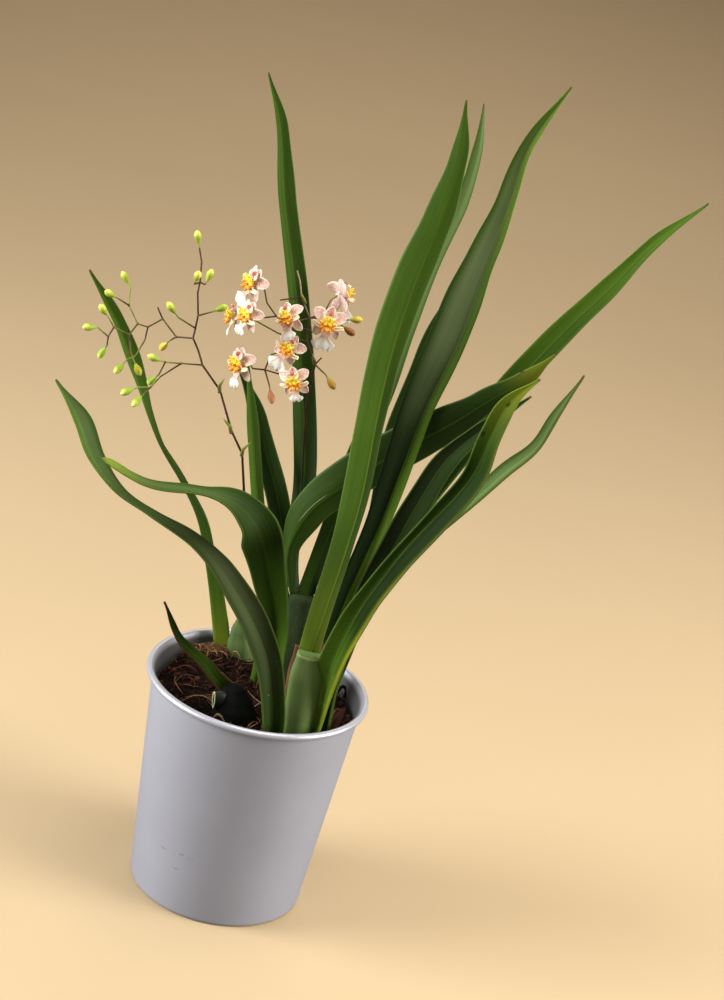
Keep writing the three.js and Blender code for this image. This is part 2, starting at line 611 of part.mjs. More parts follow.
// What stands in the mix, with a slightly larger copy of each that clears its neighbours
const standing = [];
function stand(name, make, hex) {
  let body = make(0);
  for (const other of standing) if (meets(body, other.cleared)) body = body.subtract(other.cleared);
  const trimmed = body.trimByPlane([0, 0, 1], footLevel);
  standing.push({ name, body: largest(trimmed), cleared: make(gap), hex });
}

for (const [name, shape] of Object.entries(bulbs)) {
  stand(name, (grow) => bulb(shape, grow), shape.dark ? colour.bulbDark : colour.bulb);
}
for (const [name, shape] of Object.entries(leaves)) {
  stand(name, (grow) => blade(shape, grow), name.endsWith("dark") ? colour.leafDark : colour.leaf);
}
for (const [name, shape] of Object.entries(sheaths)) stand(name, (grow) => blade(shape, grow), colour.sheath);
stand("leaf_stub", (grow) => {
  const radii = [stub.radius + grow, stub.radius + grow];
  return rod(stub.path, radii, { sides: 10, flat: stub.flat });
}, colour.stub);
for (const [name, spray, list] of [["spray_budding", buddingSpray, []],
  ["spray_blooming", bloomingSpray, blooms]]) {
  const thicker = (grow) => ({ ...spray, radii: spray.radii.map((radius) => radius + grow) });
  stand(name, (grow) => spraySolid(thicker(grow), list), colour.stem);
}

let mixBody = mixSolid();
for (const { cleared } of standing) mixBody = mixBody.subtract(cleared);

addNode("pot", turned(potProfile(), pot.sides), colour.pot, 0.4, 0.9);
addNode("bark_mix", largest(mixBody), colour.mix, 0.95);
for (const { name, body, hex } of standing) addNode(name, body, hex);
blooms.forEach((bloom, index) => {
  const frame = bloomFrame(bloom);
  const number = index + 1;
  const placed = (shape) => shape.transform(frame.toArray());
  addNode(`bloom_${number}_tepals`, placed(tepalsShape()), colour.tepal, 0.5);
  addNode(`bloom_${number}_lip`, placed(lipShape()), colour.lip, 0.5);
  addNode(`bloom_${number}_callus`, placed(callusShape()), colour.callus, 0.4);
});

export default group;
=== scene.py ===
import math
import random

import bpy
from mathutils import Matrix, Vector, noise


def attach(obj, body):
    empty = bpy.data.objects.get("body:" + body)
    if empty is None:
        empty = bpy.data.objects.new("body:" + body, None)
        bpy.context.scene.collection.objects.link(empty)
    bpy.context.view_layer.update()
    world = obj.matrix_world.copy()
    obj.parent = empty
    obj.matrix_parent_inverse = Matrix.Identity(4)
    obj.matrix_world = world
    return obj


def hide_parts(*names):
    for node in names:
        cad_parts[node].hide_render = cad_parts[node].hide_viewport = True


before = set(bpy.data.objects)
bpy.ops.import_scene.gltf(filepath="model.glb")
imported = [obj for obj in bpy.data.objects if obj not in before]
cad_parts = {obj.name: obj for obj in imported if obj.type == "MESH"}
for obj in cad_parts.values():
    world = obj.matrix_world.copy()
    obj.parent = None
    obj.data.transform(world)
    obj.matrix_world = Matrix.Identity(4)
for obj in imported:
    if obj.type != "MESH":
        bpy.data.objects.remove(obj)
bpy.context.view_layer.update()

mm = 0.001
upward = Vector((0, 0, 1))


def lay(text):
    print("stage:", text)


def deselect():
    if bpy.context.object and bpy.context.object.mode != "OBJECT":
        bpy.ops.object.mode_set(mode="OBJECT")
    bpy.ops.object.select_all(action="DESELECT")


def only(piece):
    deselect()
    piece.select_set(True)
    bpy.context.view_layer.objects.active = piece


def openEdit(piece, action="SELECT"):
    only(piece)
    bpy.ops.object.mode_set(mode="EDIT")
    bpy.ops.mesh.select_all(action=action)


def closeEdit():
    bpy.ops.object.mode_set(mode="OBJECT")


def apply(piece, kind, **settings):
    only(piece)
    modifier = piece.modifiers.new(kind.title(), kind)
    for name, value in settings.items():
        setattr(modifier, name, value)
    bpy.ops.object.modifier_apply(modifier=modifier.name)


def smooth(piece, degrees):
    only(piece)
    bpy.ops.object.shade_smooth_by_angle(angle=math.radians(degrees))


def mend(piece, distance, cap=False):  # joins doubles, closes open ends if asked, turns faces outwards
    openEdit(piece)
    bpy.ops.mesh.remove_doubles(threshold=distance * mm)
    if cap:
        bpy.ops.mesh.select_all(action="DESELECT")
        bpy.ops.mesh.select_non_manifold()
        bpy.ops.mesh.edge_face_add()
        bpy.ops.mesh.select_all(action="SELECT")
    bpy.ops.mesh.normals_make_consistent(inside=False)
    closeEdit()


def joinUp(name, pieces):
    deselect()
    for piece in pieces:
        piece.select_set(True)
    bpy.context.view_layer.objects.active = pieces[0]
    bpy.ops.object.join()
    pieces[0].name = name
    return pieces[0]


def copyOf(piece, name):
    twin = piece.copy()
    twin.data = piece.data.copy()
    twin.name = name
    bpy.context.collection.objects.link(twin)
    return twin


def give(piece, name, values, kind="FLOAT"):  # one value for each vertex
    field = piece.data.attributes.get(name) or piece.data.attributes.new(name, kind, "POINT")
    if kind == "FLOAT":
        field.data.foreach_set("value", values)
    else:
        field.data.foreach_set("vector", [number for value in values for number in value])


def giveAll(piece, **values):  # the same value on every vertex
    for name, value in values.items():
        give(piece, name, [float(value)] * len(piece.data.vertices))


def giveEach(piece, marks, **rules):  # each vertex's value from its place on the grid
    for name, rule in rules.items():
        give(piece, name, [rule(u, v) for u, v in marks])


def settle(piece, finish, slot, *nodes):  # what every finished piece needs
    piece.data.materials.clear()
    piece.data.materials.append(finish)
    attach(piece, "root")
    if nodes:
        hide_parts(*nodes)


def along(values, share):  # reads values spread evenly along a length
    place = min(max(share, 0), 1) * (len(values) - 1)
    index = min(int(place), len(values) - 2)
    rest = place - index
    ease = rest * rest * (3 - 2 * rest)
    low, high = values[index], values[index + 1]
    if isinstance(low, tuple):
        return Vector(low).lerp(Vector(high), ease)
    return low + (high - low) * ease


def span(low, high, value):  # 0 below low, 1 above high, smooth between
    share = min(max((value - low) / (high - low), 0), 1)
    return share * share * (3 - 2 * share)


class Path:  # a smooth line through points, read by its share of the length
    samples = 240

    def __init__(self, points):
        self.points = [Vector(point) for point in points]
        self.places = [self.at(step / self.samples) for step in range(self.samples + 1)]
        self.lengths = [0]
        for before, after in zip(self.places, self.places[1:]):
            self.lengths.append(self.lengths[-1] + (after - before).length)
        self.length = self.lengths[-1]

    def at(self, place):
        points = self.points
        last = len(points) - 1
        index = min(int(place * last), last - 1)
        rest = place * last - index
        one, two = points[index], points[index + 1]
        before = points[index - 1] if index else one * 2 - two
        after = points[index + 2] if index + 2 <= last else two * 2 - one
        gaps = [max((b - a).length ** 0.5, 0.001) for a, b in ((before, one), (one, two), (two, after))]
        start = (one - before) / gaps[0] - (two - before) / (gaps[0] + gaps[1]) + (two - one) / gaps[1]
        end = (two - one) / gaps[1] - (after - one) / (gaps[1] + gaps[2]) + (after - two) / gaps[2]
        start, end = start * gaps[1], end * gaps[1]
        cubic = one * 2 - two * 2 + start + end
        square = two * 3 - one * 3 - start * 2 - end
        return ((cubic * rest + square) * rest + start) * rest + one

    def point(self, share):
        goal = min(max(share, 0), 1) * self.length
        low, high = 0, self.samples
        while high - low > 1:
            middle = (low + high) // 2
            low, high = (middle, high) if self.lengths[middle] <= goal else (low, middle)
        reach = self.lengths[high] - self.lengths[low]
        rest = (goal - self.lengths[low]) / reach if reach else 0
        return self.places[low].lerp(self.places[high], rest)

    def heading(self, share):
        nudge = 0.004
        return (self.point(share + nudge) - self.point(share - nudge)).normalized()


def laidGrid(name, across, steps, place):
    # A grid primitive whose points are laid where place(u, v) says, u from -1 to 1 and v from 0 to 1
    deselect()
    bpy.ops.mesh.primitive_grid_add(x_subdivisions=across, y_subdivisions=steps, size=2)
    piece = bpy.context.object
    piece.name = name
    marks = [(vertex.co.x, (vertex.co.y + 1) / 2) for vertex in piece.data.vertices]
    for vertex, (u, v) in zip(piece.data.vertices, marks):
        vertex.co = place(u, v) * mm
    return piece, marks


def tube(name, points, radii, sides, steps, ribs=0, ribDepth=0, flat=1):
    # A round stem, closed at both ends, with its share of the length kept as an attribute
    path = Path(points)
    guide = Vector((0.3, -0.9, 0.2))  # turned square to the stem at every ring
    rings = []
    for step in range(steps + 1):
        heading = path.heading(step / steps)
        guide = (guide - heading * guide.dot(heading)).normalized()
        rings.append((path.point(step / steps), guide.copy(), heading.cross(guide)))

    def place(u, v):
        centre, side, other = rings[round(v * steps)]
        angle = u * math.pi
        radius = along(radii, v) * (1 + ribDepth * math.cos(ribs * angle))
        return centre + side * radius * flat * math.cos(angle) + other * radius * math.sin(angle)

    piece, marks = laidGrid(name, sides, steps, place)
    giveEach(piece, marks, share=lambda u, v: v)
    mend(piece, 0.002, cap=True)
    return piece


lay("camera, light and floor")
view = {
    "place": (0, 0, 98.7),  # the middle of the rim
    "distance": 925.5,
    "elevation": 21.2,
    "roll": 13.16,
    "focal": 2200,  # pixels
    "target": (258.9, 679.7),  # where the rim's middle falls in the picture
    "picture": (724, 1000),
}
tilt = math.radians(view["elevation"])
roll = math.radians(view["roll"])
level = Vector((1, 0, 0))
back = Vector((0, -math.cos(tilt), math.sin(tilt)))
rise = back.cross(level)
across = level * math.cos(roll) + rise * math.sin(roll)
height = rise * math.cos(roll) - level * math.sin(roll)
offX = (view["target"][0] - view["picture"][0] / 2) / view["focal"]
offY = (view["picture"][1] / 2 - view["target"][1]) / view["focal"]
spot = Vector(view["place"]) + (back - across * offX - height * offY) * view["distance"]
lens = bpy.data.cameras.new("camera")
lens.sensor_fit = "VERTICAL"
lens.sensor_height = 36
lens.lens = view["focal"] / view["picture"][1] * lens.sensor_height
lens.clip_start = 0.01
camera = bpy.data.objects.new("camera", lens)
bpy.context.collection.objects.link(camera)
turned = Matrix((across, height, back)).transposed().to_4x4()
camera.matrix_world = Matrix.Translation(spot * mm) @ turned
bpy.context.scene.camera = camera

lamps = {
    "left": {"at": (-1000, -260, 430), "aim": (0, 0, 170), "size": 700, "power": 22.5,
        "tint": (0.95, 0.975, 1)},
    "right": {"at": (1000, -160, 430), "aim": (0, 0, 170), "size": 700, "power": 17.5,
        "tint": (1, 0.98, 0.96)},
    "top": {"at": (160, -60, 1150), "aim": (160, 60, 0), "size": 800, "power": 9, "tint": (1, 0.98, 0.95)},
    "behind": {"at": (150, 1500, 1300), "aim": (150, 1501, 0), "size": 900, "power": 6.5,
        "tint": (1, 0.95, 0.87)},
    "backdrop": {"at": (0, 3000, 1700), "aim": (0, 3600, 0), "size": 1600, "power": 9,
        "tint": (1, 0.95, 0.88)},
}
surroundings = {"colour": (0.22, 0.185, 0.155), "strength": 1}
ground = {"size": 60, "cuts": 9, "tints": [(0.475, 0.352, 0.2), (0.50, 0.374, 0.213)], "roughness": 0.8}
for lampName, lamp in lamps.items():
    light = bpy.data.lights.new(lampName, "AREA")
    light.shape = "DISK"
    light.size = lamp["size"] * mm
    light.energy = lamp["power"]
    light.color = lamp["tint"]
    holder = bpy.data.objects.new(lampName, light)
    bpy.context.collection.objects.link(holder)
    at, aim = Vector(lamp["at"]), Vector(lamp["aim"])
    turned = (aim - at).to_track_quat("-Z", "Y").to_matrix().to_4x4()
    holder.matrix_world = Matrix.Translation(at * mm) @ turned
world = bpy.data.worlds.new("studio")
bpy.context.scene.world = world
world.use_nodes = True
glow = world.node_tree.nodes["Background"].inputs
glow["Color"].default_value = (*surroundings["colour"], 1)
glow["Strength"].default_value = surroundings["strength"]
bpy.context.scene.view_settings.view_transform = "Standard"


class Signal:  # a shader value, on which arithmetic adds Math nodes
    def __init__(self, finish, socket):
        self.finish = finish
        self.socket = socket

    def math(self, operation, first, second=None):
        inputs = {0: first} if second is None else {0: first, 1: second}
        return self.finish.add("ShaderNodeMath", {"operation": operation}, inputs)

    def __add__(self, other):
        return self.math("ADD", self, other)

    def __sub__(self, other):
        return self.math("SUBTRACT", self, other)

    def __rsub__(self, other):
        return self.math("SUBTRACT", other, self)

    def __mul__(self, other):
        return self.math("MULTIPLY", self, other)

    def __abs__(self):
        return self.math("ABSOLUTE", self)

    __radd__ = __add__
    __rmul__ = __mul__


class Finish:  # a material, with short ways to add its nodes
    def __init__(self, name, **settings):
        self.material = bpy.data.materials.new(name)
        self.material.use_nodes = True
        self.tree = self.material.node_tree
        self.shader = self.tree.nodes["Principled BSDF"]
        for socket, value in settings.items():
            self.shader.inputs[socket.replace("_", " ")].default_value = value

    def add(self, kind, settings, inputs, output=0):
        node = self.tree.nodes.new(kind)
        for name, value in settings.items():
            if name == "stops":
                ramp = node.color_ramp
                while len(ramp.elements) < len(value):
                    ramp.elements.new(0.5)
                for element, (place, colour) in zip(ramp.elements, value):
                    element.position = place
                    element.color = (*colour, 1)
            else:
                setattr(node, name, value)
        for socket, value in inputs.items():
            self.feed(node.inputs[socket], value)
        return Signal(self, node.outputs[output])

    def feed(self, socket, value):
        if isinstance(value, Signal):
            self.tree.links.new(value.socket, socket)
        elif isinstance(value, tuple) and len(value) == 3 and socket.type == "RGBA":
            socket.default_value = (*value, 1)
        else:
            socket.default_value = value

    def attribute(self, name, output="Fac"):
        return self.add("ShaderNodeAttribute", {"attribute_name": name}, {}, output)

    def place(self, scale=(1, 1, 1), vector=None):
        vector = vector or self.add("ShaderNodeTexCoord", {}, {}, "Object")
        return self.add("ShaderNodeMapping", {}, {"Vector": vector, "Scale": scale})

    def near(self, centre, sizes):  # 1 at a place on the piece, in mm, fading to 0 over the sizes
        scale = tuple(1 / mm / size for size in sizes)
        shift = tuple(-place / size for place, size in zip(centre, sizes))
        whole = self.add("ShaderNodeTexCoord", {}, {}, "Object")
        moved = self.add("ShaderNodeMapping", {}, {"Vector": whole, "Scale": scale, "Location": shift})
        reach = self.add("ShaderNodeVectorMath", {"operation": "LENGTH"}, {0: moved}, "Value")
        return self.step(reach, 1, 0.4)

    def noise(self, vector, scale, detail=3, roughness=0.5):
        inputs = {"Vector": vector, "Scale": scale, "Detail": detail, "Roughness": roughness}
        return self.add("ShaderNodeTexNoise", {}, inputs, "Fac")

    def cells(self, vector, scale):
        return self.add("ShaderNodeTexVoronoi", {}, {"Vector": vector, "Scale": scale}, "Distance")

    def step(self, value, low, high):
        inputs = {"Value": value, "From Min": low, "From Max": high}
        return self.add("ShaderNodeMapRange", {"interpolation_type": "SMOOTHSTEP"}, inputs)

    def blend(self, share, first, second):
        return self.add("ShaderNodeMix", {"data_type": "RGBA"}, {0: share, 6: first, 7: second}, 2)

    def coat(self, tone, *coats):  # each coat is a mask and the colour that shows there
        for mask, colour in coats:
            tone = self.blend(mask, tone, colour)
        return tone

    def ramp(self, value, stops):
        return self.add("ShaderNodeValToRGB", {"stops": stops}, {"Fac": value})

    def paint(self, colour, roughness=None, bump=None, strength=0.3, distance=0.3):
        self.feed(self.shader.inputs["Base Color"], colour)
        if roughness is not None:
            self.feed(self.shader.inputs["Roughness"], roughness)
        if bump is not None:
            inputs = {"Height": bump, "Strength": strength, "Distance": distance * mm}
            self.feed(self.shader.inputs["Normal"], self.add("ShaderNodeBump", {}, inputs))
        return self.material


floorFinish = Finish("paleFloor", Roughness=ground["roughness"])
grain = floorFinish.noise(floorFinish.place(), 6, 2)
floorFinish.paint(floorFinish.blend(grain, *ground["tints"]))
deselect()
bpy.ops.mesh.primitive_plane_add(size=ground["size"], location=(0, 0, 0))
floor = bpy.context.object
floor.name = "floor"
openEdit(floor)
bpy.ops.mesh.subdivide(number_cuts=ground["cuts"])
closeEdit()
floor.data.materials.append(floorFinish.material)
floor.visible_diffuse = floor.visible_glossy = False  # the plant is lit by the lamps alone


lay("pot")
pot = {
    "height": 99,
    "footRadius": 37.3,
    "neckRadius": 44.8,
    "neckDrop": 1.6,  # from the bead's middle down to the neck
    "wall": 1.1,
    "floor": 1.6,
    "beadRadius": 1.5,
    "beadCentre": 46,
    "footRounding": 1.6,
    "innerFillet": 1.4,
    "insideShadeDrop": 2.5,  # the painted shade on the inside ends this far under the top
    "turns": 128,
    "tints": [(0.47, 0.47, 0.515), (0.51, 0.51, 0.555)],
    "insideShadeTint": (0.075, 0.07, 0.066),
    "scuffTint": (0.16, 0.15, 0.17),
    "scuffs": [((-21, -33, 28.3), (5, 5, 1.1)), ((-12.5, -37.5, 29.8), (4.5, 4.5, 1)),
        ((-32.6, -25.2, 51), (3, 3, 0.8)), ((-18.3, -40.8, 94.4), (1.2, 1.2, 0.7)),
        ((-17, -36, 22), (4, 4, 0.7))],
}


def potProfile():
    foot, rounding, wall, bead = pot["footRadius"], pot["footRounding"], pot["wall"], pot["beadRadius"]
    beadHeight = pot["height"] - bead
    neckHeight = beadHeight - pot["neckDrop"]
    fillet = pot["innerFillet"]
    profile = [(0, 0), (foot - 2 * rounding, 0)]
    for step in range(6):
        angle = math.radians(-90 + 18 * step)
        profile.append((foot - rounding + rounding * math.cos(angle), rounding + rounding * math.sin(angle)))
    for share in (0.25, 0.5, 0.75, 0.94, 1):
        height = rounding + (neckHeight - rounding) * share
        profile.append((foot + (pot["neckRadius"] - foot) * share, height))
    for step in range(13):
        angle = math.radians(-100 + 20 * step)
        profile.append((pot["beadCentre"] + bead * math.cos(angle), beadHeight + bead * math.sin(angle)))
    profile.append((pot["neckRadius"] - wall, neckHeight))
    profile += [(foot - wall, pot["floor"] + fillet), (foot - wall - fillet, pot["floor"]), (0, pot["floor"])]
    return profile


# the inner wall, where shade is painted
def insidePot(place):
    x, y, z = place / mm
    wallOutside = pot["footRadius"] + (pot["neckRadius"] - pot["footRadius"]) * z / pot["height"]
    shadedWithin = math.hypot(x, y) < wallOutside - pot["wall"] * 0.6
    return float(shadedWithin and pot["floor"] * 0.7 < z < pot["height"] - pot["insideShadeDrop"])


profile = potProfile()
deselect()
bpy.ops.mesh.primitive_circle_add(vertices=len(profile), radius=0.05)
shell = bpy.context.object
shell.name = "potShell"
for vertex, (radius, z) in zip(shell.data.vertices, profile):
    vertex.co = Vector((radius, 0, z)) * mm
openEdit(shell, "DESELECT")
closeEdit()
for edge in shell.data.edges:  # the chain stays open along the axis
    edge.select = set(edge.vertices) == {0, len(profile) - 1}
bpy.ops.object.mode_set(mode="EDIT")
bpy.ops.mesh.select_mode(type="EDGE")
bpy.ops.mesh.delete(type="EDGE_FACE")
bpy.ops.mesh.select_all(action="SELECT")
bpy.ops.mesh.spin(steps=pot["turns"], angle=2 * math.pi, center=(0, 0, 0), axis=(0, 0, 1))
closeEdit()
mend(shell, 0.01)
smooth(shell, 40)
give(shell, "inside", [insidePot(vertex.co) for vertex in shell.data.vertices])

metal = Finish("satinMetal", Metallic=0.4)
where = metal.place()
cloud = metal.noise(where, 18, 3)
brush = metal.noise(metal.place((1, 1, 60)), 12, 4, 0.6)
speck = metal.step(metal.cells(where, 160), 0.09, 0.04) * metal.step(metal.noise(where, 40, 2), 0.62, 0.7)
scuffs = 0
for centre, sizes in pot["scuffs"]:
    scuffs = metal.near(centre, sizes) + scuffs
scuffs = scuffs * metal.step(metal.noise(metal.place((1, 1, 3)), 420, 3), 0.5, 0.62)
shadedWithin = metal.attribute("inside")
tone = metal.coat(
    metal.blend(metal.step(cloud, 0.3, 0.7), *pot["tints"]),
    ((speck + scuffs) * 0.5, pot["scuffTint"]),
    # painted shade on the inner wall above the bark mix
    (shadedWithin * 0.92, pot["insideShadeTint"]),
)
potRough = 0.27 + cloud * 0.08 + brush * 0.06 + shadedWithin * 0.35
settle(shell, metal.paint(tone, potRough, brush + speck * 2, 0.12, 0.1), "pot", "pot")


lay("bark mix")
mix = {
    "level": 90,
    "radius": 42.6,
    "mound": {"height": 3.5, "x": -18, "y": 20, "spread": 700},
    "edge": {"drop": 1.5, "radius": 43},
    "hills": {"height": 1.3, "size": 6},
    "lumps": [(1, 9, 2.6), (0.5, 5, 1.2)],  # height, seed and size
    "around": 128,
    "rows": 24,
    "below": [(40, 50), (36.4, 6), (34, 2.2), (0, 2.2)],  # radius and height under the top
    "chips": {"count": 330, "size": (1.2, 3.6), "reach": 40.5},
    "fibres": {"count": 300, "length": (5, 18), "reach": 41.5},
    "tuft": {"count": 150, "middle": (-28, 30), "spread": (9, 6), "stride": 2.6, "reach": 41},
    "seed": 41,
}
strips = [  # brown husk strips and dark roots: path, radii and tone
    ([(30, -18, 88), (31, -14, 92), (34, -8, 97)], [1.5, 1.7, 0.5], 0.72),
    ([(33, -16, 88), (34, -10, 92), (37, -3, 96)], [1.2, 1.3, 0.4], 0.5),
    ([(35, -12, 88), (37, -6, 92), (38, 2, 94)], [1, 1.1, 0.4], 0.62),
    ([(32, 19, 88), (34, 22, 92), (35.5, 23.5, 93.2), (37, 23, 92), (37, 21, 89)], [0.7, 0.8, 0.7], 0.02),
    ([(9, -36, 88), (12, -38, 91), (15, -36, 88.5)], [0.9, 1, 0.7], 0.02),
    ([(-14, -30, 92), (-12, -31, 94.5), (-9, -31, 92)], [0.3, 0.7, 0.3], 0.99),
]
draw = random.Random(mix["seed"])
noise.seed_set(mix["seed"])  # or noise_vector would follow the clock


def mixHeight(x, y):
    mound, hills, edge = mix["mound"], mix["hills"], mix["edge"]
    rise = mound["height"] * math.exp(-((x - mound["x"]) ** 2 + (y - mound["y"]) ** 2) / mound["spread"])
    sink = edge["drop"] * (math.hypot(x, y) / edge["radius"]) ** 4
    hill = hills["height"] * noise.noise(Vector((x, y, 3)) / hills["size"])
    return mix["level"] + rise - sink + hill


def mixPlace(u, v):
    angle = u * math.pi
    row = round(v * (mix["rows"] + len(mix["below"])))
    if row > mix["rows"]:
        radius, z = mix["below"][row - mix["rows"] - 1]
        return Vector((radius * math.cos(angle), radius * math.sin(angle), z))
    radius = mix["radius"] * (row / mix["rows"])
    x, y = radius * math.cos(angle), radius * math.sin(angle)
    lump = sum(high * noise.noise(Vector((x, y, seed)) / size) for high, seed, size in mix["lumps"])
    return Vector((x, y, mixHeight(x, y) + lump))


plug, marks = laidGrid("mixSurface", mix["around"], mix["rows"] + len(mix["below"]), mixPlace)
mend(plug, 0.01)
apply(plug, "SUBSURF", levels=1, render_levels=1)
smooth(plug, 80)


def pullIn(x, y, reach):  # keeps a place clear of the pot's wall
    length = math.hypot(x, y)
    return (x, y) if length < reach else (x * reach / length, y * reach / length)


def wander(x, y, turn, stride, reach, lift, raised, bent):  # five points of a strand on the mix
    points = []
    for step in range(5):
        px, py = pullIn(x, y, reach)
        points.append((px, py, mixHeight(px, py) + raised() + lift * math.sin(step / 4 * math.pi)))
        x += math.cos(turn) * stride
        y += math.sin(turn) * stride
        turn += bent()
    return points


deselect()
bpy.ops.mesh.primitive_cube_add(size=1)
chip = bpy.context.object
openEdit(chip)
bpy.ops.mesh.bevel(offset=0.16, segments=1)
closeEdit()
for vertex in chip.data.vertices:
    vertex.co += noise.noise_vector(vertex.co * 1.7) * 0.22
chips = []
for number in range(mix["chips"]["count"]):
    spread = mix["radius"] * math.sqrt(draw.random())
    angle = draw.uniform(0, 2 * math.pi)
    x, y = pullIn(spread * math.cos(angle), spread * math.sin(angle), mix["chips"]["reach"])
    size = draw.uniform(*mix["chips"]["size"])
    lean = Matrix.Identity(4)
    for axis, least, most in (("Z", 0, math.pi), ("X", -0.7, 0.7), ("Y", -0.6, 0.6)):
        lean = lean @ Matrix.Rotation(draw.uniform(least, most), 4, axis)
    shape = Matrix.Diagonal((size, size * draw.uniform(0.5, 0.9), size * draw.uniform(0.25, 0.5), 1))
    centre = Matrix.Translation(Vector((x, y, mixHeight(x, y) + size * 0.12)))
    twin = copyOf(chip, "chip")
    twin.data.transform(Matrix.Scale(mm, 4) @ centre @ lean @ shape)
    giveAll(twin, tone=draw.random())
    chips.append(twin)
bpy.data.objects.remove(chip)
barkChips = joinUp("barkChips", chips)
smooth(barkChips, 35)

fibres = []
for number in range(mix["fibres"]["count"]):
    spread = 41 * math.sqrt(draw.random())
    angle = draw.uniform(0, 2 * math.pi)
    turn = draw.uniform(0, 2 * math.pi)
    bend = draw.uniform(-0.5, 0.5)
    stride = draw.uniform(*mix["fibres"]["length"]) / 4
    lift = draw.uniform(0.2, 2.6)
    x, y = spread * math.cos(angle), spread * math.sin(angle)
    points = wander(x, y, turn, stride, mix["fibres"]["reach"], lift, lambda: 0.2, lambda: bend)
    thick = draw.uniform(0.08, 0.2)
    fibres.append(tube("fibre", points, [thick * 0.5, thick, thick * 0.4], 4, 6))
    giveAll(fibres[-1], tone=draw.random())
tuft = mix["tuft"]
for number in range(tuft["count"]):
    x, y = (middle + draw.gauss(0, spread / 2) for middle, spread in zip(tuft["middle"], tuft["spread"]))
    points = wander(x, y, draw.gauss(0.1, 0.6), tuft["stride"], tuft["reach"], 1.8,
        lambda: draw.uniform(0, 2.2), lambda: draw.uniform(-0.6, 0.6))
    fibres.append(tube("tuftStrand", points, [0.08, 0.16, 0.06], 4, 6))
    giveAll(fibres[-1], tone=draw.uniform(0.75, 1))
for points, radii, shade in strips:
    fibres.append(tube("strip", points, radii, 10, 14, flat=0.25 if shade > 0.1 else 0.8))
    giveAll(fibres[-1], tone=shade)
mixFibres = joinUp("mixFibres", fibres)

soil = Finish("darkMix", Roughness=0.95, Specular_IOR_Level=0.08)
crumbs = soil.noise(soil.place(), 420, 4, 0.7)
soilTone = soil.ramp(crumbs, [
    (0.35, (0.003, 0.0015, 0.001)), (0.55, (0.010, 0.004, 0.002)), (0.75, (0.040, 0.014, 0.006)),
])
settle(plug, soil.paint(soilTone, None, crumbs, 0.8, 0.8), "bark", "bark_mix")

bark = Finish("barkChips", Roughness=0.85, Specular_IOR_Level=0.12)
strands = bark.noise(bark.place((1, 1, 5)), 260, 4, 0.65)
barkTone = bark.ramp(strands * 0.55 + bark.attribute("tone") * 0.5, [
    (0.2, (0.004, 0.002, 0.001)), (0.5, (0.014, 0.005, 0.0025)), (0.72, (0.055, 0.016, 0.007)),
    (0.9, (0.14, 0.042, 0.016)),
])
settle(barkChips, bark.paint(barkTone, None, strands, 0.6, 0.4), "bark", "bark_mix")

coir = Finish("coirFibre", Roughness=0.75, Specular_IOR_Level=0.15)
coirTone = coir.ramp(coir.attribute("tone"), [
    (0.1, (0.008, 0.003, 0.002)), (0.6, (0.045, 0.014, 0.006)), (0.82, (0.13, 0.050, 0.020)),
    (0.98, (0.40, 0.24, 0.11)),
])
settle(mixFibres, coir.paint(coirTone), "bark", "bark_mix")


lay("bulbs")
# tone sets how dark each bulb is: bulb_back's low value is painted shade from the leaves over it, bulb_old is
# dark of its own
bulbs = {
    "bulb_front": {"foot": (21, -29, 84), "tip": (18.5, -27, 128.5), "tone": 1,
        "halfWidths": [4.2, 5.7, 6.6, 6.8, 5.2]},
    "bulb_back": {"foot": (12, 11, 84), "tip": (10, 11, 136), "tone": 0.3,
        "halfWidths": [6, 8.2, 8.4, 7.6, 5.8]},
    "bulb_left": {"foot": (-10, 31, 84), "tip": (-14, 31, 110), "tone": 0.75,
        "halfWidths": [4.5, 5.8, 5.9, 4.6, 2.2]},
    "bulb_old": {"foot": (-5, -21, 84), "tip": (-8.5, -21.5, 103), "tone": 0,
        "halfWidths": [8.5, 9.6, 9.2, 7.6, 4.6]},
}
bulbForm = {"depth": 0.8, "ribs": 5, "ribDepth": 0.035, "wrinkle": 0.012, "around": 64, "steps": 26,
    "shoulder": 0.92, "cap": 0.08, "dome": 1.2}


def makeBulb(name, shape):
    foot, tip = Vector(shape["foot"]), Vector(shape["tip"])

    def place(u, v):
        angle = u * math.pi
        cosine, sine = math.cos(angle), math.sin(angle)
        body = min(v / bulbForm["shoulder"], 1)
        close = max((v - bulbForm["shoulder"]) / bulbForm["cap"], 0)  # the last stretch closes the top
        radius = along(shape["halfWidths"], body) * math.sqrt(max(1 - close ** 2, 0))
        wrinkle = 1 + bulbForm["ribDepth"] * math.cos(angle * bulbForm["ribs"])
        wrinkle += bulbForm["wrinkle"] * noise.noise(Vector((cosine * 2, sine * 2, v * 3 + foot.x)))
        centre = foot.lerp(tip, body) + upward * bulbForm["dome"] * close
        return centre + Vector((radius * wrinkle * cosine, radius * wrinkle * bulbForm["depth"] * sine, 0))

    piece, marks = laidGrid(name + "Form", bulbForm["around"], bulbForm["steps"], place)
    giveEach(piece, marks, share=lambda u, v: v)
    giveAll(piece, tone=shape["tone"])
    mend(piece, 0.005, cap=True)
    smooth(piece, 60)
    return piece


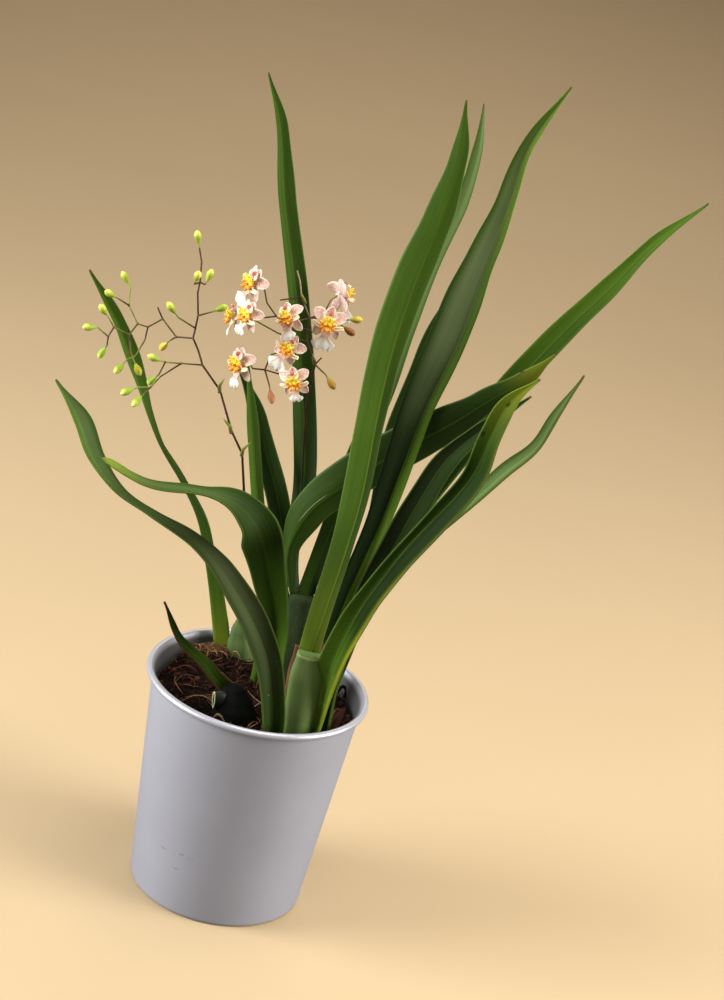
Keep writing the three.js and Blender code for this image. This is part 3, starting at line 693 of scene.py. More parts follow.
bulbSkin = Finish("bulbSkin", Specular_IOR_Level=0.16)
lines = bulbSkin.noise(bulbSkin.place((1, 1, 0.1)), 1100, 3, 0.6)
cloud = bulbSkin.noise(bulbSkin.place(), 90, 3)
# each bulb's own tone, with painted shade on bulb_back
own = bulbSkin.attribute("tone")
ring = bulbSkin.step(abs(bulbSkin.attribute("share") - 0.915), 0.018, 0.006) * bulbSkin.step(own, 0.5, 0.8)
specks = bulbSkin.step(bulbSkin.cells(bulbSkin.place(), 420), 0.14, 0.07) * bulbSkin.step(own, 0.1, 0.4)
skinTone = bulbSkin.ramp(own + (cloud - 0.5) * 0.3 + (lines - 0.5) * 0.12, [
    (0.08, (0.001, 0.0016, 0.0008)), (0.3, (0.018, 0.030, 0.008)), (0.6, (0.055, 0.090, 0.022)),
    (0.9, (0.105, 0.160, 0.042)),
])
skinTone = bulbSkin.coat(skinTone, (ring * 0.7, (0.24, 0.30, 0.09)), (specks * 0.25, (0.25, 0.28, 0.16)))
bulbSkin.paint(skinTone, 0.86 - own * 0.4 + lines * 0.15, lines, 0.25, 0.25)
for name, shape in bulbs.items():
    slot = "bulb_dark" if name == "bulb_old" else "bulb"
    settle(makeBulb(name, shape), bulbSkin.material, slot, name)


lay("leaves")
# Lists are spread evenly along each leaf, from its foot to its tip. "right" and "left" are painted light
# and shade: how light each half is, as seen on its upper face, from 0 to 1, as the lit or the shaded side of
# the fold, mixed with the leaf's own darker or paler green. "rib" moves the crease off the middle, "line"
# is how clearly the crease shows, "tip" is half a blunt tip's width, and "faces" turn the upper face.
leaves = {
    "leaf_far_left_low": {
        "spine": [(12, -32, 83), (9, -34, 104), (1, -36, 129), (-16, -38, 153), (-34, -36, 168),
            (-54, -31, 174), (-70, -27, 179), (-82, -23, 189), (-90, -19, 201), (-104, -14, 214)],
        "halfWidths": [4.5, 6.2, 6.6, 6.8, 6, 4.2, 2.7, 5, 4.8, 0.5],
        "folds": [40, 38, 30, 22, 12, 12, 15, 15],
        "faces": [(0.3, -1, 0), (0.3, -1, 0), (0.2, -0.8, 0.3), (0.1, -0.7, 0.8), (0, -0.3, 1),
            (0, -0.1, 1), (0.2, 0, 1), (0.4, -0.4, 0.8), (0.5, -0.3, 0.6)],
        "right": [0.42, 0.32, 0.2, 0.14, 0.14, 0.2, 0.3, 0.36, 0.34, 0.4],
        "left": [0.25, 0.2, 0.16, 0.16, 0.18, 0.25, 0.34, 0.52, 0.6, 0.5],
        "brown": [0, 0.05, 0.15, 0.3, 0.4, 0.35, 0.1, 0, 0, 0],
        "rib": [0, 0, 0, 0, 0, 0, -0.15, -0.3, -0.35, -0.2], "dull": True, "flecks": 0.6,
        "grey": [0, 0.1, 0.2, 0.3, 0.25, 0.1, 0.1, 0.3, 0.4, 0.2],
    },
    "leaf_tongue": {
        "spine": [(10, -21, 83), (7, -22, 105), (3, -23, 136), (-4, -25, 157), (-12, -28, 176),
            (-22, -32, 186), (-36, -37, 190), (-58, -43, 191), (-76, -47, 199)],
        "halfWidths": [3.5, 4, 4.6, 5.6, 7.4, 9, 7.6, 5.6, 4.2, 0.5], "folds": [35, 32, 25, 15, 12, 12, 12],
        "faces": [(0, -1, 0), (0, -1, 0), (0, -1, 0), (0, -1, 0), (0, -1, 0.1), (0, -0.6, 0.8),
            (0, 0.1, 1), (0, 0, 1), (0, -0.2, 1)],
        "right": [0.72, 0.66, 0.56, 0.42, 0.28, 0.24, 0.36, 0.45, 0.95],
        "left": [0.45, 0.42, 0.36, 0.3, 0.22, 0.24, 0.34, 0.42, 0.95], "goldTip": 0.3, "tip": 3.2,
        "flecks": 1, "dull": True, "grey": [0, 0, 0, 0, 0, 0.1, 0.35, 0.3, 0], "line": [0.1, 0.1],
    },
    "leaf_far_left_high": {
        "spine": [(-20, 33, 80), (-26, 32, 104), (-33, 30, 129), (-41, 26, 153), (-50, 23, 168),
            (-63, 21, 185), (-76, 17, 212), (-87, 14, 233), (-102, 10, 254)],
        "halfWidths": [8, 8, 7, 5.6, 4.6, 4, 4.2, 4.4, 3.2, 0.5], "folds": [75, 70, 55, 30, 10, 25, 30],
        "faces": [(1, 0.2, 0), (1, 0.2, 0), (0.9, 0.2, 0.3), (0.8, 0.2, 0.6), (0.7, 0.5, 0.6),
            (0.3, 1, 0.3), (0.2, 1, 0.2)],
        "right": [0.7, 0.5, 0.4, 0.4, 0.5, 0.55, 0.55, 0.55],
        "left": [0.8, 0.6, 0.42, 0.34, 0.3, 0.4, 0.5, 0.5], "goldFoot": 0.7,
    },
    "leaf_torn": {
        "spine": [(-8, -17, 98), (-15, -19, 102), (-23, -22, 111), (-34, -26, 121), (-43, -30, 138)],
        "halfWidths": [4.2, 3.8, 2.8, 1.6, 0.4], "folds": [40, 25, 15],
        "faces": [(0.5, -0.7, 0.7), (0.5, -0.7, 0.7)], "right": [0.3, 0.5, 0.3, 0.1],
        "left": [0.15, 0.4, 0.3, 0.1], "dryEdge": 1, "dull": True,
    },
    "leaf_centre_tall": {
        "spine": [(6, 14, 136), (1, 17, 152), (0, 22, 180), (-8, 26, 215), (-19, 26, 256), (-32, 24, 296),
            (-40, 20, 328), (-48, 17, 346)],
        "halfWidths": [3, 5, 5.8, 5.8, 5.4, 5, 5, 4.8, 3.2, 0.4], "folds": [50, 30, 25, 25],
        "faces": [(0, 1, 0), (0, 1, 0), (0.25, 1, 0), (0.5, 0.9, 0), (0.5, 0.9, 0)],
        "right": [0.12, 0.16, 0.26, 0.36, 0.4, 0.42, 0.48], "left": [0.1, 0.14, 0.2, 0.3, 0.33, 0.34, 0.4],
        "line": [0.3, 0.3],
    },
    "leaf_centre_narrow": {
        "spine": [(-2, 7, 83), (-3, 7, 120), (-9, 8, 148), (-17, 10, 174), (-25, 12, 203), (-33, 14, 231)],
        "halfWidths": [2, 2.2, 2.6, 3, 2.8, 0.4], "folds": [35, 25], "faces": [(0, 1, 0), (0, 1, 0)],
        "right": [0.45, 0.5, 0.6, 0.6], "left": [0.4, 0.45, 0.5, 0.5],
    },
    "leaf_centre_dark": {
        "spine": [(-3, 18, 83), (-1, 17, 115), (-1, 15, 146), (-8, 18, 170), (-17, 22, 188),
            (-28, 27, 209), (-38, 31, 222)],
        "halfWidths": [2.4, 2.6, 3.6, 5.2, 5.2, 4, 0.5], "folds": [45, 25, 20],
        "faces": [(0, -1, 0), (0.2, -1, 0), (0.3, -1, 0)], "right": [0.2, 0.25, 0.2, 0.25],
        "left": [0.15, 0.2, 0.15, 0.2],
    },
    "leaf_right_arching": {
        "spine": [(5, 9, 136), (0, 8, 155), (5, 6, 175), (15, 5, 189), (35, 1, 212), (52, -3, 229),
            (65, -6, 244), (77, -9, 257), (85, -12, 270)],
        "halfWidths": [2.6, 5, 8.4, 10, 10, 9.6, 8.4, 5.6, 3.8, 0.5], "folds": [55, 30, 15, 15, 15],
        "faces": [(0.4, 1, 0.2), (0.1, 1, 0.2), (0, 1, 0.2), (0, 1, 0.2), (0, 1, 0.2)],
        "right": [0.3, 0.34, 0.34, 0.2, 0.06, 0.04, 0.25, 0.8],
        "left": [0.24, 0.25, 0.24, 0.12, 0.04, 0.04, 0.2, 0.6], "goldTip": 0.7, "spots": 1, "scar": 1,
    },
    "leaf_front_tall": {
        "spine": [(18, -27, 129), (19, -26, 147), (21, -23, 170), (22, -19, 196), (21, -16, 226),
            (21, -15, 258), (24, -15, 287), (29, -16, 315), (31, -18, 341), (29, -21, 360)],
        "halfWidths": [4.6, 4.8, 5, 5.8, 5.8, 6.4, 7, 7, 5.8, 3.6, 0.4], "folds": [20, 25, 15, 12, 12, 12],
        "faces": [(0, 1, 0), (0, 1, 0), (0.1, 1, 0), (0.1, 1, 0), (0.3, 1, 0)],
        "right": [0.6, 0.56, 0.52, 0.58, 0.64, 0.58, 0.52, 0.5, 0.5, 0.5],
        "left": [0.36, 0.32, 0.3, 0.3, 0.34, 0.4, 0.44, 0.46, 0.5, 0.56], "goldFoot": 0.25,
        "rib": [-0.25, -0.45, -0.5, -0.5, -0.45, -0.35, -0.3, -0.2, 0],
        "line": [0.9, 0.9, 0.9, 0.7, 0.3, 0, 0],
    },
    "leaf_second_tall": {
        "spine": [(11, 10, 136), (15, 14, 166), (18, 16, 194), (24, 18, 227), (27, 20, 255),
            (31, 20, 285), (37, 18, 314), (38, 15, 335), (36, 12, 354)],
        "halfWidths": [4, 4.2, 4.4, 4.8, 5, 4.6, 4.2, 3.8, 2.6, 0.4], "folds": [22, 26, 22, 20],
        "faces": [(-0.3, 1, 0), (-0.4, 1, 0), (-0.5, 1, 0)], "right": [0.3, 0.3, 0.35, 0.5, 0.6, 0.6],
        "left": [0.2, 0.2, 0.25, 0.45, 0.55, 0.6], "grey": [0, 0, 0.1, 0.5, 0.9, 0.8, 0.6],
    },
    "leaf_right_tall": {
        "spine": [(25, -14, 83), (24.5, -11, 110), (25.5, -8, 130), (28, -7, 152), (32.5, -5, 180),
            (35, -3, 205), (38, -2, 235), (43, -2, 262), (47, -3, 290), (52, -4, 318), (55, -7, 345),
            (66, -12, 372)],
        "halfWidths": [4.4, 5.4, 5.8, 5.8, 5.8, 6.6, 7.2, 8, 7.8, 5.8, 3.8, 2.4, 0.4],
        "folds": [48, 32, 28, 22, 12, 12, 15],
        "faces": [(0.3, -1, 0), (0.2, -1, 0), (0.2, -1, 0), (0, -1, 0), (0, -1, 0), (0.2, -1, 0)],
        "right": [0.75, 0.85, 0.92, 0.9, 0.8, 0.66, 0.6, 0.7, 0.95, 1, 1],
        "left": [0.2, 0.1, 0.04, 0.03, 0.03, 0.06, 0.2, 0.38, 0.45, 0.5, 0.6],
        "grey": [0, 0, 0, 0, 0, 0.05, 0.4, 0.9, 1, 0.7, 0.3, 0],
        "rib": [0.1, 0, 0.05, 0.25, 0.42, 0.52, 0.62, 0.66, 0.6, 0.45, 0.3, 0.2], "margin": 0, "dull": True,
        "line": [0.5, 0.5],
    },
    "leaf_right_inner": {
        "spine": [(21, -3, 83), (28, -1, 130), (33.5, 9, 180), (34, 10, 220), (37.5, 8, 262), (45, 4, 292)],
        "halfWidths": [2.6, 3.4, 4.4, 6.6, 3.6, 0.4], "folds": [50, 30, 20],
        "faces": [(-0.2, 1, 0), (-0.4, 1, 0)], "right": [0.12, 0.12, 0.12, 0.2],
        "left": [0.1, 0.1, 0.12, 0.2],
    },
    "leaf_right_edged": {
        "spine": [(27, -24, 83), (28, -27, 100), (30, -31, 130), (36, -35, 156), (45, -39, 180),
            (55, -43, 202), (65, -45, 225), (67, -45, 242), (71, -43, 257), (80, -41, 268)],
        "halfWidths": [4.4, 5.8, 7.6, 7.4, 6.2, 5.8, 5.6, 5.2, 4.4, 0.5], "folds": [35, 32, 28, 24, 20, 20],
        "faces": [(-0.6, -0.8, 0), (-0.6, -0.8, 0.2), (-0.4, -0.8, 0.6), (-0.3, -0.9, 0.4),
            (-0.2, -1, 0.2)],
        "right": [1, 0.9, 0.5, 0.2, 0.1, 0.1, 0.2, 0.42, 0.65],
        "left": [1, 0.95, 0.6, 0.4, 0.3, 0.25, 0.22, 0.4, 0.65],
        "goldEdge": [0, 0.8, 1, 0.5, 0.15, 0.1, 0.2, 0.3], "goldTip": 0.45, "spots": 0.8,
        "rib": [0, -0.1, -0.2, -0.35, -0.5, -0.3, 0, 0], "dull": True, "flecks": 1,
    },
    "leaf_right_dark": {
        "spine": [(30, -19, 83), (31, -17, 120), (35, -15, 150), (41, -14, 174), (47, -13, 197),
            (54, -13, 218), (66, -15, 236), (80, -17, 253)],
        "halfWidths": [2.8, 3.4, 4.8, 6.2, 6.4, 5.4, 3.6, 0.4], "folds": [60, 45, 25, 20, 20],
        "faces": [(0.2, -1, 0.1), (0, -1, 0.3), (0, -1, 0.3)], "right": [0.25, 0.2, 0.15, 0.2, 0.22, 0.2],
        "left": [0.1, 0.05, 0.03, 0.03, 0.06, 0.15], "grey": [0, 0.05, 0.1, 0.12, 0.1, 0.05], "dull": True,
    },
    "leaf_right_low": {
        "spine": [(34, -23, 83), (33, -21, 120), (39, -20, 155), (52, -19, 181), (68.5, -18, 206),
            (78, -16, 220), (87, -13, 231), (92, -9, 245), (99, -3, 262)],
        "halfWidths": [2.2, 2.4, 2.6, 2.8, 3.4, 3.8, 4.2, 3, 0.4], "folds": [60, 40, 30, 25, 25],
        "faces": [(-0.7, -0.3, 0.4), (-0.6, -0.5, 0.5), (-0.6, -0.5, 0.5)],
        "right": [0.3, 0.3, 0.35, 0.42, 0.48, 0.5, 0.45], "left": [0.2, 0.2, 0.3, 0.4, 0.42, 0.45, 0.45],
        "dryEdge": 0.5, "dull": True, "grey": [0, 0, 0.2, 0.5, 0.6, 0.4],
    },
    "leaf_far_right": {
        "spine": [(15, 13, 136), (22, 12, 143), (40, 14, 164), (59, 18, 207), (75, 22, 244),
            (90, 25, 271), (102, 26, 290), (115, 26, 313), (131, 23, 334)],
        "halfWidths": [2.8, 4, 5.6, 6.6, 6.6, 6, 5, 3, 0.4], "folds": [50, 30, 20, 20, 25],
        "faces": [(-0.6, -0.6, 0.4), (-0.5, -0.8, 0.4), (-0.4, -0.8, 0.4), (-0.4, -0.8, 0.5)],
        "right": [0.16, 0.18, 0.2, 0.28, 0.42, 0.55, 0.66],
        "left": [0.16, 0.18, 0.26, 0.38, 0.56, 0.7, 0.75], "dull": True,
    },
}
sheaths = {
    "dry_sheath_left": {
        "spine": [(16, -20, 83), (15, -20, 105), (13, -20, 128)], "halfWidths": [3, 3.6, 3.4, 1.2],
        "folds": [25, 30], "faces": [(0, 1, 0), (0, 1, 0)],
    },
    "dry_sheath_right": {
        "spine": [(22, -20, 83), (24.4, -20.5, 110), (24, -20.5, 124), (21, -20.5, 136)],
        "halfWidths": [1.8, 1.9, 2, 1.6, 0.5], "folds": [25, 30], "faces": [(0.3, 1, 0), (0.3, 1, 0)],
    },
}
plain = {  # what a leaf or a sheath has where its own entry says nothing
    "right": [0.4, 0.4], "left": [0.4, 0.4], "rib": [0, 0], "line": [0.22, 0.22], "grey": [0, 0],
    "brown": [0, 0], "goldEdge": [0, 0], "goldTip": 0, "goldFoot": 0, "tip": 0, "margin": 0.25,
    "dryEdge": 0, "spots": 0, "scar": 0, "flecks": 0, "dull": False,
}
blade = {"across": 12, "crease": 0.05, "swell": 0.1, "ripple": 0.35, "rippleLength": 26, "bluntFrom": 0.93,
    "bluntShare": 0.07}
leafBuild = {"thickness": 0.8, "steps": 72}
sheathBuild = {"thickness": 0.5, "steps": 20}


def reachOf(shape, v):  # half the width
    end = max(v - blade["bluntFrom"], 0) / blade["bluntShare"]
    blunt = shape["tip"] * math.sqrt(max(1 - end ** 2, 0)) * span(0.8, 0.9, v)
    return max(along(shape["halfWidths"], v), blunt)


def fromRib(shape, u, v):  # 0 on the crease and 1 at either edge
    rib = along(shape["rib"], v)
    return (u - rib) / (1 - rib) if u > rib else (u - rib) / (1 + rib)


# painted light and shade: each half's tone as the lit or the shaded side of the fold, with the leaf's own
# green
def leafTone(shape, u, v):
    right, left = along(shape["right"], v), along(shape["left"], v)
    return left + (right - left) * span(-0.1, 0.1, fromRib(shape, u, v))


def leafGold(shape, u, v):  # where the leaf turns yellowish
    edge = along(shape["goldEdge"], v) * span(0.55, 0.95, u)
    return max(edge, shape["goldTip"] * span(0.82, 0.97, v), shape["goldFoot"] * span(0.22, 0.02, v))


def makeBlade(name, shape, seed, thickness, steps):
    path = Path(shape["spine"])
    rows = []
    for step in range(steps + 1):
        heading = path.heading(step / steps)
        face = along(shape["faces"], step / steps)
        face = (face - heading * face.dot(heading)).normalized()
        rows.append((path.point(step / steps), heading.cross(face), face))

    def place(u, v):
        centre, side, face = rows[round(v * steps)]
        fold = math.radians(along(shape["folds"], v))
        reach = reachOf(shape, v)
        gone = abs(fromRib(shape, u, v))
        lift = math.sqrt(gone ** 2 + blade["crease"] ** 2) - blade["crease"]
        bulge = blade["swell"] * math.sin(gone * math.pi) * reach * math.cos(fold) * 0.35
        spot = Vector((v * path.length / blade["rippleLength"], u * 1.3, seed))
        wave = blade["ripple"] * noise.noise(spot) * gone ** 2 * span(0, 0.25, v) * span(1, 0.9, v)
        rise = reach * math.sin(fold) * lift - bulge + wave
        return centre + side * (u * reach * math.cos(fold)) + face * rise

    piece, marks = laidGrid(name, blade["across"], steps, place)
    giveEach(
        piece, marks,
        share=lambda u, v: v,
        across=lambda u, v: fromRib(shape, u, v),
        tone=lambda u, v: leafTone(shape, u, v),
        gold=lambda u, v: leafGold(shape, u, v),
        # painted sheen: a lighter grey-green band down the middle of the leaf
        grey=lambda u, v: along(shape["grey"], v) * span(1, 0.3, abs(u)),
        line=lambda u, v: along(shape["line"], v),
        brown=lambda u, v: along(shape["brown"], v),
    )
    runs = [(u * reachOf(shape, v), v * path.length, seed * 20) for u, v in marks]
    give(piece, "run", runs, "FLOAT_VECTOR")
    count = len(marks)
    apply(piece, "SOLIDIFY", thickness=thickness * mm, offset=0)
    give(piece, "under", [float(index >= count) for index in range(len(piece.data.vertices))])
    apply(piece, "SUBSURF", levels=1, render_levels=1)
    mend(piece, 0.001)
    smooth(piece, 70)
    return piece


def leafFinish(name, gloss, roughness):
    skin = Finish(name, Specular_IOR_Level=gloss)
    across = skin.attribute("across")
    side = abs(across)
    share = skin.attribute("share")
    run = skin.attribute("run", "Vector")
    broad = skin.noise(skin.place((0.7, 0.006, 1), run), 1, 3, 0.6)
    veins = skin.noise(skin.place((2.2, 0.012, 1), run), 1.3, 3, 0.6)
    fine = skin.noise(skin.place((5, 0.05, 1), run), 1.2, 3, 0.6)
    cloud = skin.noise(skin.place((0.12, 0.03, 1), run), 1, 3)
    margin = skin.step(side + (fine - 0.5) * 0.06, 0.88, 0.97)
    dry = skin.step(side + (cloud - 0.5) * 0.3, 0.82, 0.95)
    tip = skin.step(share + (cloud - 0.5) * 0.03, 0.988, 1.0)
    blots = skin.step(skin.cells(skin.place((1, 0.7, 1), run), 0.19), 0.2, 0.12) * skin.step(share, 0.7, 0.8)
    scar = skin.step(abs(across - 0.1 + (share - 0.3) * 0.6), 0.018, 0.006)
    scar = scar * skin.step(share, 0.2, 0.23) * skin.step(share, 0.32, 0.29)
    flecks = skin.step(skin.cells(run, 0.6), 0.24, 0.12) * skin.step(skin.noise(run, 0.13, 2), 0.5, 0.6)
    flecks = flecks * skin.step(share, 0.26, 0.1)
    # the tone attribute carries the painted light and shade of each leaf half
    level = skin.attribute("tone") + (broad - 0.5) * 0.28 + (veins - 0.5) * 0.22 + (cloud - 0.5) * 0.18
    tone = skin.ramp(level, [
        (0, (0.003, 0.009, 0.001)), (0.25, (0.014, 0.034, 0.002)), (0.5, (0.042, 0.088, 0.005)),
        (0.75, (0.080, 0.155, 0.012)), (1, (0.15, 0.25, 0.03)),
    ])
    tone = skin.coat(
        tone,
        (skin.attribute("line") * skin.step(side, 0.07, 0.02), (0.12, 0.2, 0.02)),
        (skin.attribute("margin") * margin, (0.18, 0.28, 0.06)),
        (skin.attribute("gold") * (0.5 + cloud * 0.5), (0.26, 0.26, 0.012)),
        (skin.attribute("brown") * (0.4 + veins), (0.040, 0.032, 0.012)),
        # painted sheen, streaked along the veins
        (skin.attribute("grey") * (0.35 + veins * 0.5), (0.21, 0.28, 0.12)),
        (skin.attribute("under") * 0.2, (0.055, 0.105, 0.014)),
        (skin.attribute("dryEdge") * dry, (0.07, 0.035, 0.012)),
        (tip * 0.7, (0.12, 0.075, 0.025)),
        (skin.attribute("spots") * blots * 0.9, (0.018, 0.012, 0.004)),
        (skin.attribute("scar") * scar * 0.8, (0.42, 0.42, 0.26)),
        (skin.attribute("flecks") * flecks * 0.8, (0.42, 0.44, 0.30)),
    )
    return skin.paint(tone, roughness + fine * 0.12, veins * 0.6 + fine * 0.4, 0.3, 0.16)


brightLeaf = leafFinish("brightLeaf", 0.1, 0.44)
dullLeaf = leafFinish("dullLeaf", 0.06, 0.6)
for seed, (name, own) in enumerate(leaves.items()):
    shape = {**plain, **own}
    piece = makeBlade(name + "Form", shape, seed, **leafBuild)
    giveAll(piece, **{mark: shape[mark] for mark in ("spots", "scar", "margin", "flecks", "dryEdge")})
    slot = "leaf_dark" if name.endswith("dark") else "leaf"
    settle(piece, dullLeaf if shape["dull"] else brightLeaf, slot, name)

husk = Finish("dryHusk", Roughness=0.75)
threads = husk.noise(husk.place((3, 0.05, 1), husk.attribute("run", "Vector")), 1.5, 4, 0.7)
huskTone = husk.ramp(threads, [
    (0.3, (0.07, 0.022, 0.010)), (0.55, (0.24, 0.085, 0.028)), (0.75, (0.46, 0.24, 0.10)),
])
huskTone = husk.blend(husk.step(husk.attribute("share"), 0.9, 0.3) * 0.4, huskTone, (0.09, 0.03, 0.018))
husk.paint(huskTone, None, threads, 0.5, 0.4)
for seed, (name, own) in enumerate(sheaths.items(), 50):
    piece = makeBlade(name + "Form", {**plain, **own}, seed, **sheathBuild)
    settle(piece, husk.material, "sheath", name)


lay("sprays")
# The last stretch of each stalk's path is a bud. "tints" colours the buds: 0 lime, 1 pinkish brown.
# "low" is the share of the stem that is dark green, and "dry" where it turns dry towards its tip.
spray = {
    "twigRadii": [0.34, 0.3],
    "bractRadii": [0.75, 0.8, 0.5, 0.06],
    "nodeRadius": 0.52,
    "budRadii": [0.32, 0.75, 1.2, 1.45, 1.45, 1.15, 0.4],
    "shortestBud": 5.6,
    "budRibs": 3,
    "ribDepth": 0.07,
}
budding = {
    "stem": [(8, -12, 83), (2, -12, 122), (-7, -10, 152), (-17, -8, 172), (-22, -8, 183), (-26, -8, 199),
        (-32, -7, 207), (-40, -5, 222), (-49, -3, 230), (-52, -1, 235), (-55, 0, 239), (-55, 2, 248),
        (-57, 3, 257), (-57, 4, 261), (-58, 5, 269), (-60, 6, 274)],
    "radii": [0.85, 0.7, 0.58, 0.48, 0.42, 0.34],
    "low": 0,
    "dry": (1, 2),
    "bracts": [[(-26, -8, 198), (-26, -8.5, 201), (-23.5, -9, 205)], [(-32, -7, 206), (-33, -7.5, 209),
        (-36.5, -8, 212)], [(-40, -5, 221), (-40.5, -5.5, 224), (-39, -6, 228)]],
    "stalks": [
        [(-58, 5, 269), (-60, 6, 274), (-62, 6, 280)],
        [(-57, 4, 261), (-59, 3, 260), (-58, 1, 265)],
        [(-57, 4, 261), (-55, 6, 260), (-54, 8, 264)],
        [(-55, 2, 248), (-50, 5, 250), (-46, 8, 252)],
        [(-55, 1, 243), (-62, -3, 247), (-67, -6, 253)],
        [(-55, 0, 239), (-62, 3, 237), (-69, 6, 242), (-74, 4, 238), (-78, 2, 239), (-83, 4, 245),
            (-84, 6, 252), (-88, 8, 256)],
        [(-83, 4, 245), (-87, 0, 248), (-92, -4, 251)],
        [(-78, 2, 239), (-80, -2, 235), (-86, -6, 238), (-88, -9, 242), (-92, -11, 247)],
        [(-86, -6, 238), (-87, -10, 235), (-91, -14, 239), (-94, -16, 239)],
        [(-87, -10, 235), (-87, -9, 231), (-89, -8, 226)],
        [(-74, 4, 238), (-74, 2, 233), (-76, -2, 227), (-79, -4, 225), (-82, -6, 220)],
        [(-80, -2, 235), (-78, -4, 229), (-76, -5, 226), (-73, -4, 221)],
        [(-62, 3, 237), (-65, 8, 233), (-68, 11, 228)],
        [(-49, -3, 230), (-57, -7, 230), (-63, -10, 230), (-70, -13, 232)],
        [(-57, -7, 230), (-64, -8, 223), (-67, -9, 218), (-72, -10, 217), (-77, -12, 214)],
        [(-63, -10, 230), (-65, -6, 223), (-69, -3, 217)],
        [(-67, -9, 218), (-69, -11, 215), (-71, -14, 212)],
    ],
    "tints": [0.05, 0.12, 0.05, 0, 0.02, 0.06, 0.06, 0.1, 0, 0, 0, 0.2, 0.35, 0, 0, 0, 0],
    "twigs": [[(-69, 6, 242), (-72, 7, 246)]],
}
blooming = {
    "stem": [(14, 20, 83), (11, 19.5, 110), (5, 18, 128), (0.5, 13.5, 142), (1, 13, 152), (1, 14, 165),
        (-1, 17, 184), (-4, 17, 203), (-6, 16, 218), (-6, 16, 225), (-6, 15, 235), (-11, 14, 244),
        (-12, 14, 249), (-12, 14, 254), (-17, 16, 261), (-19, 17, 267), (-21, 17, 271)],
    "radii": [0.8, 0.7, 0.58, 0.5, 0.42, 0.3],
    "low": 0.66,
    "dry": (0.88, 0.96),
    "bracts": [[(-6, 15, 235), (-8, 13, 240)], [(-15, 15, 259), (-17.5, 15, 263)]],
    "stalks": [
        [(-6, 15, 235), (-1, 12, 233), (4, 9, 229)],
        [(-25, 9, 230), (-22, 7, 225), (-19, 5, 218)],
        [(-12, 14, 254), (-4, 16, 255), (3, 15, 256.5), (6, 14, 257.5)],
        [(-4, 16, 255), (1, 14, 254), (5, 13, 252.5)],
    ],
    "tints": [0.55, 1, 0.3, 0.75],
    "twigs": [
        [(-17, 16, 261), (-25, 12, 259)],
        [(-6, 16, 225), (-15, 13, 228), (-25, 9, 230)],
        [(-12, 14, 249), (-19, 12, 249), (-25, 9, 253)],
        [(-6, 15, 235), (-4, 13, 239)],
    ],
}

# Blooms. "at" is the middle of the yellow callus, "look" the way the bloom faces, "lean" its turn
# in its own plane, "skirt" how wide and long its lip's skirt is, and "from" its stalk's start.
blooms = [
    {"at": (-39, 8, 264), "look": (-0.75, -0.65, 0.2), "lean": 18, "size": 1.1, "skirt": (1, 1),
        "from": [(-25, 9, 253), (-30, 14, 256)]},
    {"at": (-37, -4, 254), "look": (-0.65, -0.75, 0.2), "lean": 12, "size": 1, "skirt": (0.75, 0.7),
        "from": [(-25, 9, 253), (-30, 6, 252)]},
    {"at": (-44, 12, 247.5), "look": (-0.95, -0.2, 0.1), "lean": 5, "size": 1, "skirt": (0.6, 0.75),
        "from": [(-11, 14, 244), (-23, 13, 245), (-33, 13, 248)]},
    {"at": (-21, 2, 255), "look": (-0.55, -0.8, 0.2), "lean": -28, "size": 1, "skirt": (0.85, 0.8),
        "from": [(-12, 14, 254), (-15, 11, 253)]},
    {"at": (-18, 2, 242.5), "look": (-0.2, -1, 0.15), "lean": 23, "size": 1, "skirt": (1, 1.05),
        "from": [(-25, 9, 230), (-24, 11, 236)]},
    {"at": (-12, -4, 231), "look": (-0.1, -1, 0.05), "lean": -20, "size": 1, "skirt": (0.7, 0.65),
        "from": [(-6, 16, 225), (-9, 8, 227)]},
    {"at": (-37, 3, 231), "look": (-0.7, -0.7, 0.1), "lean": -4, "size": 1.1, "skirt": (0.7, 0.85),
        "from": [(-25, 9, 230), (-30, 10, 229)]},
    {"at": (-4, 6, 255), "look": (0.05, -1, 0.15), "lean": 3, "size": 1.12, "skirt": (1, 1),
        "from": [(-12, 14, 249), (-8, 14, 248)]},
    {"at": (1, 23, 264), "look": (0.7, 0.6, 0.3), "lean": 10, "size": 1.15, "skirt": (0.9, 1),
        "from": [(-12, 14, 254), (-7, 17, 256)]},
]
callusMiddle = 1.5  # how far it stands out from the lip
stalkNeck, stalkEnd = (0, 0.6, -6), (0, 1.4, -2.9)


def bloomFrame(bloom):
    front = Vector(bloom["look"]).normalized()
    right = upward.cross(front).normalized()
    top = front.cross(right)
    turn = math.radians(-bloom["lean"])
    sideways = right * math.cos(turn) + top * math.sin(turn)
    above = top * math.cos(turn) - right * math.sin(turn)
    basis = Matrix((sideways, above, front)).transposed().to_4x4() @ Matrix.Scale(bloom["size"], 4)
    return Matrix.Translation(Vector(bloom["at"]) - front * callusMiddle * bloom["size"]) @ basis


def kinked(points):  # straight stretches that turn at each node, as the twigs zigzag
    points = [Vector(point) for point in points]
    line = [points[0]]
    for before, after in zip(points, points[1:]):
        line += [before.lerp(after, 0.2), before.lerp(after, 0.8), after]
    return line


def sharesOf(piece):
    return [value.value for value in piece.data.attributes["share"].data]


def stemTube(points, radii, low, high, sides=8, steps=None):  # "green" runs from low to high
    piece = tube("stem", kinked(points), radii, sides, steps or len(points) * 7)
    give(piece, "green", [low + (high - low) * share for share in sharesOf(piece)])
    giveAll(piece, bud=0, tint=0)
    return piece


